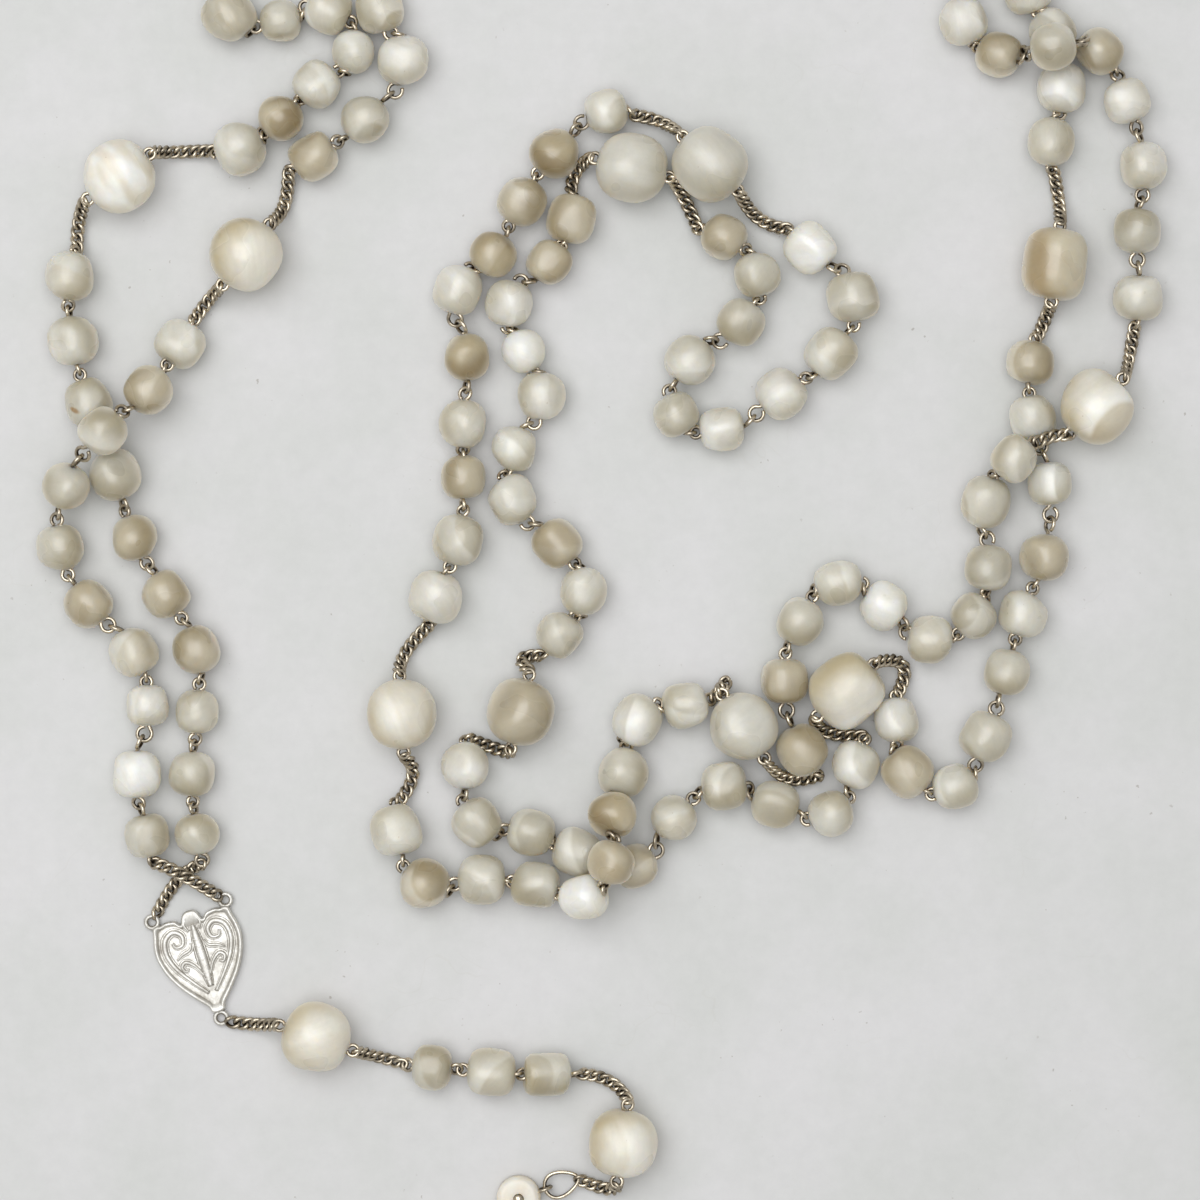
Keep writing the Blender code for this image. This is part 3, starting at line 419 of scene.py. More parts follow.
def bead(
    shape, centre, along, radius, half, rest, tone, seed,
    facing=None, band=None, square=None, stripes=0.0, fine=False,
):
    """Adds a tumbled nacre bead whose lowest point is rest below centre.

    Returns where its centre comes to, and how far from it the two mouths of its hole are.
    """
    rng = random.Random(seed)
    rings, segments = (BIG_RINGS, BIG_SEGMENTS) if fine else (BEAD_RINGS, BEAD_SEGMENTS)
    ends, round_ = square or rng.uniform(2.1, 2.9), rng.uniform(2.0, 2.3)
    first = math.asin(HOLE_R / half)
    polar = np.linspace(first, math.pi - first, rings)[:, None]
    turn = np.linspace(0, 2 * math.pi, segments, endpoint=False)[None, :]
    across = (np.abs(np.cos(turn)) ** round_ + np.abs(np.sin(turn)) ** round_) ** (1 / round_)
    lengthwise, sideways = np.abs(np.cos(polar)) / half, np.sin(polar) * across / radius
    reach = (lengthwise**ends + sideways**ends) ** (-1 / ends)
    wave = rng.uniform(0, TURN)
    waves = np.sin(2 * turn + wave) + np.sin(3 * polar + wave) * np.cos(turn + wave)
    reach = reach * (1 + WAVINESS * waves)
    ahead, out = np.cos(polar) * reach, np.sin(polar) * reach
    points = np.stack(np.broadcast_arrays(ahead, out * np.cos(turn), out * np.sin(turn)), -1)
    points = flatten(points, rng, radius, rng.randint(3, 6), FACET_CUT)
    mouth_in, mouth_out = points[0, :, 0].mean(), points[-1, :, 0].mean()
    rings_in_hole = [(mouth_in - d, r) for d, r in HOLE] + [(mouth_out + d, r) for d, r in HOLE[::-1]]
    hole = [
        np.stack([np.full(segments, x), r * np.cos(turn[0]), r * np.sin(turn[0])], -1)
        for x, r in rings_in_hole
    ]
    points = np.concatenate([hole[:2], points, hole[2:]])
    # Painted shade in the mouths of the drill hole
    pit = np.zeros((len(points), 1))
    pit[:3, 0], pit[-3:, 0] = HOLE_SHADE, HOLE_SHADE[::-1]
    side, up = frame_on(along, rng.uniform(0, TURN))
    turned = points @ np.array([along[:], side[:], up[:]])
    lowered = -rest - turned[..., 2].min()
    placed = turned + np.array(centre[:]) + [0, 0, lowered]

    # The bright side faces mostly up and towards the lamps: painted sheen and light over the nacre's own tone
    face = Vector(facing or (rng.gauss(-0.15, 0.6), rng.gauss(0.15, 0.6), 1)).normalized()
    side_of_face, up_of_face = frame_on(face, rng.uniform(0, TURN))
    nacre = turned @ np.array([face[:], side_of_face[:], up_of_face[:]]).T / radius
    shade = rng.uniform(0.97, 1.03)
    bright, rim = (linear(c) * shade for c in TONES[tone])
    # The bright band is painted sheen; the darker layer beyond it is the nacre's own
    if band is None:
        whitest = tone in "vw"
        band = (max(0.05, rng.uniform(-0.3, 1.0)) + 0.25 * whitest) * GLEAM.get(tone, 1.0)
        layer = max(0.0, rng.uniform(-0.8, 0.7)) * (not whitest)
    else:
        layer = 0.0 if stripes else band
    # The bead's rim as seen from above gets a painted glow, as of light through the nacre
    shape.grid(
        placed, pit=pit, nacre=nacre, bright=bright, rim=rim, band=band, layer=layer, stripes=stripes,
        edge=1 - np.clip(np.abs(turned[..., 2]) / radius, 0, 1), seed=rng.uniform(0, 50),
        stain=float(seed == STAINED),
    )
    return Vector(centre) + Vector((0, 0, lowered)), mouth_in, -mouth_out


def tube(shape, path, normals, radius, sides=8, looped=False, flat=1.0, tapers=None):
    """Adds a wire along path, darkened inside its bends by oxide and painted shade, and below by painted
    shade.

    Its normals point along one axis of its section, and flat scales that axis.
    """
    path, normals = np.asarray(path, float), np.asarray(normals, float)
    ahead, behind = np.roll(path, -1, 0), np.roll(path, 1, 0)
    if not looped:
        ahead[-1], behind[0] = path[-1], path[0]
    along = ahead - behind
    along /= np.linalg.norm(along, axis=1)[:, None]
    normals = normals - along * np.sum(normals * along, 1)[:, None]
    normals /= np.linalg.norm(normals, axis=1)[:, None]
    side = np.cross(along, normals)
    inward = ahead + behind - 2 * path
    inward /= np.maximum(np.linalg.norm(inward, axis=1), 1e-6)[:, None]
    angle = np.linspace(0, 2 * math.pi, sides, endpoint=False)
    out = normals[:, None] * (np.cos(angle) * flat)[:, None] + side[:, None] * np.sin(angle)[:, None]
    scale = np.ones(len(path)) if tapers is None else np.asarray(tapers, float)
    rows = path[:, None] + out * radius * scale[:, None, None]
    hollow = np.clip(np.einsum("ijk,ik->ij", out, inward), 0, 1)
    low = np.clip(0.75 - out[..., 2], 0, 1)
    # Oxide and painted shade inside the bends, painted shade on the underside
    shape.grid(rows, looped=looped, tarnish=np.clip(0.05 + 0.8 * hollow + 0.6 * low, 0, 1))


def eye(shape, mouth, axis, meet, roll, radius=WIRE_R):
    """Adds the end of a bead's wire: out of the hole and round in a loop that reaches just past meet."""
    way = (meet - mouth).normalized()
    span = (meet - mouth).length + EYE_PAST * radius
    loop = min(max(span / 2, EYE_LEAST), EYE_MOST)
    middle = meet + way * (EYE_PAST * radius - loop)
    side, normal = frame_on(way, roll)
    turns = [math.pi + 0.5 + i * (2 * math.pi - 0.85) / 20 for i in range(21)]
    ring = [middle + way * loop * math.cos(a) + side * loop * math.sin(a) for a in turns]
    neck = [mouth - axis * 1.0, mouth - axis * 0.35]
    path = [*neck, neck[-1].lerp(ring[0], 0.6), *ring]
    tube(shape, [p[:] for p in path], [normal[:]] * len(path), radius)


def chain(shape, start, via, end, rng):
    """Adds a run of twisted curb links along the curve from start to end."""
    steps = CHAIN_STEPS
    way = [bend(start, via, end, i / steps) for i in range(steps + 1)]
    gone = np.concatenate([[0], np.cumsum([(b - a).length for a, b in zip(way, way[1:])])])
    count = max(2, round(gone[-1] / LINK_PITCH))
    pitch = gone[-1] / count
    half_long = pitch / 2 + LINK_R + LINK_OVERLAP
    turns = np.linspace(0, 2 * math.pi, 22, endpoint=False)
    roll, drift = rng.uniform(-0.4, 0.4), rng.uniform(-0.12, 0.12)
    for k in range(count):
        at = np.interp((k + 0.5) * pitch, gone, np.arange(steps + 1)) / steps
        middle = bend(start, via, end, at)
        along = (bend(start, via, end, at + 0.02) - bend(start, via, end, at - 0.02)).normalized()
        side, up = frame_on(along, roll + drift * k + rng.uniform(-0.1, 0.1))
        axes = np.array([along[:], side[:], up[:]])
        x = half_long * np.cos(turns)
        y = LINK_HALF_WIDE * np.sign(np.sin(turns)) * np.abs(np.sin(turns)) ** 0.8
        twist = LINK_TWIST * x / half_long
        path = np.stack([x, y * np.cos(twist), y * np.sin(twist)], -1) @ axes
        normals = np.stack([0 * x, -np.sin(twist), np.cos(twist)], -1) @ axes
        tube(shape, path + np.array(middle[:]), normals, LINK_R, sides=8, looped=True)


def arch(start, end, rise, sway, swings):
    """Points of an arch from start to end that sways to either side as it goes."""
    found = []
    for i in range(ARCH_STEPS + 1):
        t = i / ARCH_STEPS
        a = math.pi * t
        out = sway * math.sin(a) * math.sin(2 * math.pi * swings * t)
        x = start[0] + (end[0] - start[0]) * (1 - math.cos(a)) / 2 - out * math.cos(a)
        y = start[1] + (end[1] - start[1]) * t + rise * math.sin(a) + out * math.sin(a)
        found.append(Vector((x, y, 0)))
    return found


def run_points(path, run):
    """Spreads a run of beads, eyes and pin ends along a path.  Returns (kind, point) for each."""
    kinds = "s" + run + "s"
    steps = [SPACING[a + b] for a, b in zip(kinds, kinds[1:])]
    lengths = [(b - a).length for a, b in zip(path, path[1:])]
    scale = sum(lengths) / sum(steps)
    found, gone, k, want = [], 0.0, 0, 0.0
    heights = {"s": SMALL_Z, "e": EYE_Z, "p": BIG_Z, "b": BIG_Z}
    for kind, step in zip(run, steps):
        want += step * scale
        while gone + lengths[k] < want:
            gone += lengths[k]
            k += 1
        p = path[k].lerp(path[k + 1], (want - gone) / lengths[k])
        found.append((kind, (round(p.x, 3), round(p.y, 3), heights[kind])))
    return found


def hidden_run(before, after, rise, sway, swings, run):
    """The decades that before starts and after ends, the one between them, and their two large beads."""
    placed = run_points(arch(before[-1], after[0], rise, sway, swings), run)
    pieces, links, current = [], [], list(before)
    i = 0
    while i < len(placed):
        kind, p = placed[i]
        if kind == "e":
            eye_in, pin_in, big, pin_out, eye_out = (q for _, q in placed[i : i + 5])
            sags = [
                ((a[0] + b[0]) / 2, (a[1] + b[1]) / 2, SAG_Z)
                for a, b in ((eye_in, pin_in), (pin_out, eye_out))
            ]
            pieces.append(current + [eye_in])
            links.append([eye_in, sags[0], big, sags[1], eye_out])
            current = [eye_out]
            i += 5
        else:
            current.append(p)
            i += 1
    pieces.append(current + list(after))
    return pieces, links


def material(name):
    """A new node material.  Returns it, its shader and functions that add and join nodes."""
    made = bpy.data.materials.new(name)
    made.use_nodes = True
    tree = made.node_tree
    shader = tree.nodes["Principled BSDF"]

    def add(kind, inputs=None, **settings):
        node = tree.nodes.new("ShaderNode" + kind)
        for key, value in settings.items():
            setattr(node, key, value)
        for key, value in (inputs or {}).items():
            if isinstance(value, bpy.types.NodeSocket):
                tree.links.new(value, node.inputs[key])
            else:
                node.inputs[key].default_value = value
        return node

    def join(output, socket):
        tree.links.new(output, shader.inputs[socket])

    return made, shader, add, join


def value_of(add, name, kind="Fac"):
    """A named value on the mesh, as a number, "Color" or "Vector"."""
    return add("Attribute", attribute_name=name, attribute_type="GEOMETRY").outputs[kind]


def maths(add, operation, a, b=0.0, clamp=False):
    """The result of a sum on two numbers."""
    return add("Math", {0: a, 1: b}, operation=operation, use_clamp=clamp).outputs["Value"]


def times(add, first, *others):
    """The product of all the numbers."""
    for other in others:
        first = maths(add, "MULTIPLY", first, other)
    return first


def noise(add, place, scale, detail, seed=None, output="Fac", **inputs):
    """A noise texture over place, a different one for each seed."""
    inputs = {"Vector": place, "Scale": scale, "Detail": detail, **inputs}
    if seed is None:
        return add("TexNoise", inputs).outputs[output]
    return add("TexNoise", {"W": seed, **inputs}, noise_dimensions="4D").outputs[output]


def ramp(add, value, low, high, to_low=0.0, to_high=1.0, smooth=True):
    """value taken from low..high to to_low..to_high, with soft ends if smooth."""
    limits = {"From Min": low, "From Max": high, "To Min": to_low, "To Max": to_high}
    kind = "SMOOTHSTEP" if smooth else "LINEAR"
    return add("MapRange", {"Value": value, **limits}, interpolation_type=kind).outputs["Result"]


def mix(add, factor, a, b, blend="MIX"):
    """Colour a with so much of colour b over it."""
    node = add("Mix", {"Factor": factor}, data_type="RGBA", blend_type=blend, clamp_factor=True)
    for value, socket in ((a, node.inputs[6]), (b, node.inputs[7])):
        if isinstance(value, bpy.types.NodeSocket):
            node.id_data.links.new(value, socket)
        else:
            socket.default_value = value
    return node.outputs[2]


def shaded(add, colour, grey):
    """A colour multiplied by a number."""
    grey = add("CombineColor", {"Red": grey, "Green": grey, "Blue": grey}).outputs[0]
    return mix(add, 1.0, colour, grey, "MULTIPLY")


def nacre_material():
    """Mother-of-pearl: a bright side of painted sheen and light from above and a warmer rim, growth bands,
    faint clouds, a painted glow on the sides and drill holes darkened with painted shade.
    """
    made, shader, add, join = material("nacre")
    nacre = value_of(add, "nacre", "Vector")
    seed = value_of(add, "seed")
    cloud = noise(add, nacre, 1.1, 0.5, seed)
    parts = add("SeparateXYZ", {"Vector": nacre}).outputs
    wobble = times(add, maths(add, "SUBTRACT", cloud, 0.5), 0.9)
    # The bright side, mostly up: painted sheen and light from above over the nacre's own tones
    facing = ramp(add, maths(add, "ADD", parts["X"], wobble), -0.05, 0.95)
    colour = mix(add, facing, value_of(add, "rim", "Color"), value_of(add, "bright", "Color"))

    # Broad growth bands, and fine lines along them
    layered = add("Mapping", {"Vector": nacre, "Scale": (0.5, 1.0, 0.35)}).outputs["Vector"]
    banded = ramp(add, noise(add, layered, 2.6, 0.3, seed), 0.36, 0.64)
    strength = maths(add, "ADD", times(add, value_of(add, "stripes"), 0.8), 0.22)
    darker = mix(add, 1.0, colour, GROWTH_TINT, "MULTIPLY")
    colour = mix(add, times(add, banded, strength), colour, darker)
    lines = add("Mapping", {"Vector": nacre, "Scale": (1.5, 9.0, 1.0)}).outputs["Vector"]
    fine = noise(add, lines, 1.2, 2.0, seed)
    colour = shaded(add, colour, ramp(add, fine, 0.3, 0.75, 1.015, 0.975))

    # A bright band of painted sheen across the bead, off its middle, with a darker layer of the nacre beyond
    # it
    offset = times(add, maths(add, "SINE", times(add, seed, 5.0)), 0.62)
    bowed = times(add, parts["Z"], parts["Z"], 0.35)
    bent = maths(add, "ADD", bowed, times(add, wobble, 0.3))
    across = maths(add, "SUBTRACT", maths(add, "ADD", parts["Y"], bent), offset)
    behind = ramp(add, across, 0.05, 0.75, 1.0, 0.0)
    ahead = ramp(add, across, -0.16, 0.02)
    gleam = times(add, behind, ahead, ramp(add, parts["X"], -0.1, 0.5), value_of(add, "band"))
    beyond = times(add, ramp(add, across, -0.14, 0.03, 1.0, 0.0), value_of(add, "layer"))
    colour = mix(add, beyond, colour, mix(add, 1.0, colour, LAYER_TINT, "MULTIPLY"))
    colour = mix(add, times(add, gleam, 0.7), colour, GLEAM_COLOUR)
    # Painted glow on the bead's sides, as of light through the nacre
    edge = ramp(add, value_of(add, "edge"), 0.35, 1.0, 0.0, 0.75)
    colour = mix(add, edge, colour, RIM_GLOW_COLOUR)

    # Mottling, specks, the one stain, and painted shade in the drill holes
    mottle = noise(add, nacre, 6.0, 4.0, seed, Roughness=0.65)
    colour = shaded(add, colour, ramp(add, mottle, 0.25, 0.75, 0.955, 1.035, smooth=False))
    speck = noise(add, nacre, 7.0, 1.0, seed)
    colour = mix(add, times(add, ramp(add, speck, 0.77, 0.83), 0.45), colour, SPECK_COLOUR)
    place = add("VectorMath", {0: nacre, 1: STAIN_AT}, operation="SUBTRACT").outputs["Vector"]
    oval = add("VectorMath", {0: place, 1: (1.0, 1.0, 2.2)}, operation="MULTIPLY").outputs["Vector"]
    away = add("VectorMath", {0: oval}, operation="LENGTH").outputs["Value"]
    stain = times(add, ramp(add, away, 0.12, 0.34, 0.8, 0.0), value_of(add, "stain"))
    colour = mix(add, stain, colour, STAIN_COLOUR)
    join(mix(add, value_of(add, "pit"), colour, HOLE_SHADE_COLOUR), "Base Color")

    join(ramp(add, cloud, 0.3, 0.7, 0.26, 0.4), "Roughness")
    height = maths(add, "ADD", times(add, fine, 0.5), speck)
    bump = add("Bump", {"Height": height, "Strength": 0.04, "Distance": 0.00008})
    join(bump.outputs["Normal"], "Normal")
    for socket, value in {
        "Subsurface Weight": 1.0, "Subsurface Radius": (1.0, 0.85, 0.6), "Subsurface Scale": 0.006,
        "Specular IOR Level": 0.8, "Coat Weight": 0.35, "Coat Roughness": 0.34,
    }.items():
        shader.inputs[socket].default_value = value
    return made


def silver_material(name, bright, dark, rough, grain, darkening):
    """Worn silver: bright where it rubs, with dark oxide spots, and darker where the mesh says: oxide with
    painted shade in hollows, painted shade below and at the feet of raised parts.
    """
    made, shader, add, join = material(name)
    place = add("TexCoord").outputs["Object"]
    cloud = noise(add, place, 420.0, 4.0, Roughness=0.6)
    fine = noise(add, place, grain, 3.0)
    spotted = times(add, maths(add, "SUBTRACT", cloud, 0.45), darkening)
    # Oxide spots, plus the mesh's oxide and painted shade
    amount = maths(add, "ADD", value_of(add, "tarnish"), spotted, clamp=True)
    join(mix(add, amount, (*bright, 1), (*dark, 1)), "Base Color")
    scuffed = ramp(add, fine, 0.3, 0.7, rough, rough + 0.14)
    join(maths(add, "ADD", scuffed, times(add, amount, 0.2)), "Roughness")
    bump = add("Bump", {"Height": fine, "Strength": 0.3, "Distance": 0.00004})
    join(bump.outputs["Normal"], "Normal")
    shader.inputs["Metallic"].default_value = 1.0
    return made


def floor_material():
    """Pale woven card, faintly mottled, with a few fine specks and fibres."""
    made, shader, add, join = material("floor_card")
    place = add("TexCoord").outputs["Object"]
    mottle = ramp(add, noise(add, place, 28.0, 6.0, Roughness=0.6), 0.3, 0.7)
    colour = mix(add, mottle, *FLOOR_COLOURS)
    speck, few = noise(add, place, 900.0, 2.0), noise(add, place, 60.0, 1.0)
    specks = times(add, ramp(add, speck, 0.70, 0.76), ramp(add, few, 0.55, 0.66))
    colour = mix(add, times(add, specks, 0.6), colour, FLOOR_SPECK)
    drift = noise(add, place, 45.0, 3.0, output="Color")
    bent = add("VectorMath", {0: drift, "Scale": 0.03}, operation="SCALE").outputs["Vector"]
    bent = add("VectorMath", {0: place, 1: bent}, operation="ADD").outputs["Vector"]
    cells = add("TexVoronoi", {"Vector": bent, "Scale": 75.0}, feature="DISTANCE_TO_EDGE")
    fibre = ramp(add, cells.outputs["Distance"], 0.002, 0.012, 1.0, 0.0)
    marks = times(add, fibre, ramp(add, noise(add, place, 38.0, 2.0), 0.58, 0.66))
    colour = mix(add, times(add, marks, 0.1), colour, FLOOR_FIBRE)
    weave = noise(add, place, 330.0, 3.0, Roughness=0.7)
    colour = shaded(add, colour, ramp(add, weave, 0.3, 0.7, 0.975, 1.02, smooth=False))
    join(colour, "Base Color")
    shader.inputs["Roughness"].default_value = 0.7
    shader.inputs["Specular IOR Level"].default_value = 0.25
    return made


NACRE = nacre_material()
SILVER = silver_material("silver_wire", (0.7, 0.62, 0.49), (0.045, 0.03, 0.017), 0.2, 2600.0, 2.0)
MEDAL_SILVER = silver_material("silver_medal", (0.81, 0.80, 0.765), (0.30, 0.265, 0.21), 0.46, 3400.0, 1.3)


def strand(name, points, tones, sizes):
    """Beads between two end eyes, and the wires that hold and link them.  Returns both shapes."""
    rng = random.Random(name)
    way = [point(p, SMALL_Z) for p in points]
    way[0], way[-1] = point(points[0], EYE_Z), point(points[-1], EYE_Z)
    beads, wires, placed = Shape(), Shape(), []
    for i, (before, centre, after) in enumerate(zip(way, way[1:], way[2:])):
        along = ((centre - before).normalized() + (after - centre).normalized()).normalized()
        radius, half, square = sizes[i]
        rested = bead(beads, centre, along, radius, half, SMALL_R, tones[i], f"{name}_{i}", square=square)
        placed.append((*rested, along))
    meets = [way[0]]
    for a, b in zip(placed, placed[1:]):
        meet = (a[0] + a[3] * a[2] + b[0] - b[3] * b[1]) / 2
        meet.z -= 0.3
        meets.append(meet)
    meets.append(way[-1])
    rolls = [rng.choice((0.25, 1.3, 1.9, 2.9)) + rng.uniform(-0.3, 0.3) for _ in meets]
    for i, (centre, back, front, along) in enumerate(placed):
        eye(wires, centre - along * back, -along, meets[i], rolls[i])
        eye(wires, centre + along * front, along, meets[i + 1], rolls[i + 1] + math.pi / 2)
    return beads, wires


def oval_wire(shape, centre, x_way, y_way, long, wide, radius, pear=0.0, sides=10, steps=40):
    """Adds a closed ring of wire, round, oval or drawn to a point where pear is more than nothing."""
    normal = x_way.cross(y_way).normalized()
    path = []
    for i in range(steps):
        a = 2 * math.pi * i / steps
        side = y_way * wide * math.sin(a) * (1 - pear * math.cos(a))
        path.append((centre + x_way * long * math.cos(a) + side)[:])
    tube(shape, path, [normal[:]] * steps, radius, sides, looped=True)


def large_bead(node, centre, along):
    """A drilled large bead as its own piece.  Returns where it rests and the depth of its hole's mouths."""
    tone, facing, band, radius, half, square = LARGE_LOOKS[node]
    shape = Shape()
    rested = bead(
        shape, centre, along, radius, half, BIG_R, tone, node, facing=facing, band=band, square=square,
        stripes=float(node == STRIPED), fine=True,
    )
    shape.keep(f"{node}_nacre", HOME[node], NACRE, "mother_of_pearl", [node])
    return rested


def pin(shape, centre, along, back, front, meet, rng):
    """Adds the eyes of a large bead's wire, one at either mouth.  Returns both meeting points."""
    meets = []
    for way, mouth in ((-along, back), (along, front)):
        at = centre + way * meet
        eye(shape, centre + way * mouth, way, at, rng.uniform(-0.5, 0.5))
        meets.append(at)
    return meets


def link(side, number, points):
    """A large bead between two runs of chain: the chains and pin are one piece, the bead another."""
    node, bead_node = f"{side}_link_{number}", f"{side}_large_bead_{number}"
    rng = random.Random(node)
    eye_in, via_in, centre, via_out, eye_out = points
    via_in, via_out, centre = point(via_in, SAG_Z), point(via_out, SAG_Z), point(centre, BIG_Z)
    along = via_out - via_in
    along.z = 0
    along.normalize()
    rested, back, front = large_bead(bead_node, centre, along)
    metal = Shape()
    meet_in, meet_out = pin(metal, rested, along, back, front, PIN_MEET, rng)
    chain(metal, point(eye_in, EYE_Z), via_in, meet_in, rng)
    chain(metal, meet_out, via_out, point(eye_out, EYE_Z), rng)
    metal.keep(f"{node}_chain_and_pin", HOME[node], SILVER, "silver", [node])


def lone_chain(node, start, via, end):
    """A run of chain that is a piece of its own."""
    shape = Shape()
    chain(shape, start, via, end, random.Random(node))
    shape.keep(f"{node}_links", HOME[node], SILVER, "silver", [node])


def spline(points, per_span, closed=False):
    """A smooth curve through points, as an array."""
    p = np.asarray(points, float)
    if closed:
        p = np.concatenate([p[-1:], p, p[:2]])
    else:
        p = np.concatenate([2 * p[:1] - p[1:2], p, 2 * p[-1:] - p[-2:-1]])
    t = np.linspace(0, 1, per_span, endpoint=False)[:, None]
    spans = []
    for a, b, c, d in zip(p, p[1:], p[2:], p[3:]):
        square, cube = a - 2.5 * b + 2 * c - d / 2, 1.5 * (b - c) + (d - a) / 2
        spans.append(b + t * (c - a) / 2 + t**2 * square + t**3 * cube)
    curve = np.concatenate(spans)
    return curve if closed else np.concatenate([curve, p[-2:-1]])


def outline_inset(outline, distance):
    """The outline moved to the right of its own direction, so inwards if it runs clockwise."""
    way = np.roll(outline, -1, 0) - np.roll(outline, 1, 0)
    way /= np.linalg.norm(way, axis=1)[:, None]
    return outline + np.stack([way[:, 1], -way[:, 0]], -1) * distance


def medal_place(uvz):
    """Points of the medal's upright frame, turned to the way it lies."""
    uvz = np.asarray(uvz, float)
    c, s = math.cos(MEDAL_TILT), math.sin(MEDAL_TILT)
    return np.stack([uvz[..., 0] * c - uvz[..., 1] * s, uvz[..., 0] * s + uvz[..., 1] * c, uvz[..., 2]], -1)


def flat_strip(shape, route, wide, high, base):
    """Adds a low rounded strip on the medal's field, tapered to both ends of its route, with painted shade at
    its feet.
    """
    path = spline(route, 8)
    way = np.gradient(path, axis=0)
    way /= np.linalg.norm(way, axis=1)[:, None]
    t = np.linspace(0, 1, len(path))
    swell = (0.25 + 0.75 * np.sin(math.pi * np.clip(t * 0.85 + 0.1, 0, 1)))[:, None]
    angle = np.linspace(0, 2 * math.pi, 10, endpoint=False)
    across = np.cos(angle)[None, :] * wide / 2 * swell
    rows = np.zeros((len(path), 10, 3))
    rows[..., 0] = path[:, :1] - way[:, 1:] * across
    rows[..., 1] = path[:, 1:] + way[:, :1] * across
    rows[..., 2] = base + np.sin(angle)[None, :] * high
    # Painted shade along the strip's feet
    shape.grid(medal_place(rows), tarnish=np.clip(0.7 - 0.8 * np.sin(angle), 0, 1)[None, :])


def build_medal():
    """The medal's plate with its raised rim and three rings, and the scrollwork on its face."""
    outline, field = (
        spline(half + [(-u, v) for u, v in reversed(half)], 7, closed=True)
        for half in (MEDAL_HALF, MEDAL_FIELD)
    )
    crest = outline_inset(outline, MEDAL_CREST)
    rings = [outline_inset(outline, inset) for inset, _, _ in MEDAL_EDGE]
    rings += [crest + (field - crest) * t for t, _, _ in MEDAL_SLOPE]
    rings += [field * scale for scale, _, _ in MEDAL_FLOOR]
    section = MEDAL_EDGE + MEDAL_SLOPE + MEDAL_FLOOR
    rows = [np.column_stack([ring, np.full(len(ring), z)]) for ring, (_, z, _) in zip(rings, section)]
    plate = Shape()
    # Painted shade on the outer wall, oxide and painted shade round the field
    plate.grid(medal_place(rows)[:, ::-1], tarnish=[[darkening] for _, _, darkening in section])
    x_way, y_way = (Vector(medal_place(v)) for v in ((1, 0, 0), (0, 1, 0)))
    for (u, v), (foot_u, foot_v) in zip(MEDAL_RINGS, MEDAL_NECKS):
        middle = Vector(medal_place((u, v, RING_Z)))
        oval_wire(plate, middle, x_way, y_way, RING_R, RING_R, RING_WIRE)
        toward = Vector((foot_u - u, foot_v - v)).normalized() * 0.9 * RING_R
        ends = medal_place([(u + toward.x, v + toward.y, RING_Z), (foot_u, foot_v, RING_Z)])
        path = [ends[0] + (ends[1] - ends[0]) * t for t in np.linspace(0, 1, 6)]
        tube(plate, path, [UP[:]] * 6, 0.55, 12, tapers=[0.8, 0.85, 0.95, 1.1, 1.3, 1.5], flat=0.8)
    plate.keep("centre_medal_plate", HOME["centre_medal"], MEDAL_SILVER, "silver", ["centre_medal"], sharp=50)

    relief = Shape()
    strips = [([(u * mirror, v) for u, v in route], wide) for route, wide in SCROLLS for mirror in (1, -1)]
    for points, wide in [*strips, (LEAF, LEAF_WIDE)]:
        # A wider, lower strip under each, dark at its edges, as a painted shadow
        flat_strip(relief, points, wide + SHADE_EDGE, SHADE_HIGH, MEDAL_FIELD_Z)
        flat_strip(relief, points, wide, RELIEF, MEDAL_FIELD_Z)
    for step in range(7):
        v = -5.6 + step * 1.15
        for mirror in (1, -1):
            vein = [(0.0, v), (0.35 * mirror, v + 0.4), (0.66 * mirror, v + 0.55)]
            flat_strip(relief, vein, 0.2, 0.09, MEDAL_FIELD_Z + 0.8 * RELIEF)
    relief.keep("centre_medal_scrollwork", HOME["centre_medal"], MEDAL_SILVER, "silver")


def cross_outline():
    """The cross's outline in its own frame, counter-clockwise, with its upright along -y from the top."""
    facings = (90, 180, 270, 0)
    open_half = math.degrees(math.asin(CROSS_BAR / CROSS_LOBE))
    outline = []
    for (x, y), facing in zip(CROSS_ENDS, facings):
        for k in range(25):
            a = math.radians(facing - (180 - open_half) + (360 - 2 * open_half) * k / 24)
            outline.append((x + CROSS_LOBE * math.cos(a), y + CROSS_LOBE * math.sin(a)))
        corner = math.radians(facing + 45)
        x_side, y_side = (math.copysign(CROSS_BAR, way(corner)) for way in (math.cos, math.sin))
        outline.append((x_side, y_side - CROSS_ARM_AT))
    return np.array(outline)


def cross_place(xyz):
    """Points of the cross's frame, turned to the way it lies."""
    xyz = np.asarray(xyz, float)
    up = -CROSS_DOWN
    right = Vector((up.y, -up.x, 0))
    return np.array((*CROSS_TOP, 0.0)) + xyz @ np.array([right[:], up[:], UP[:]])


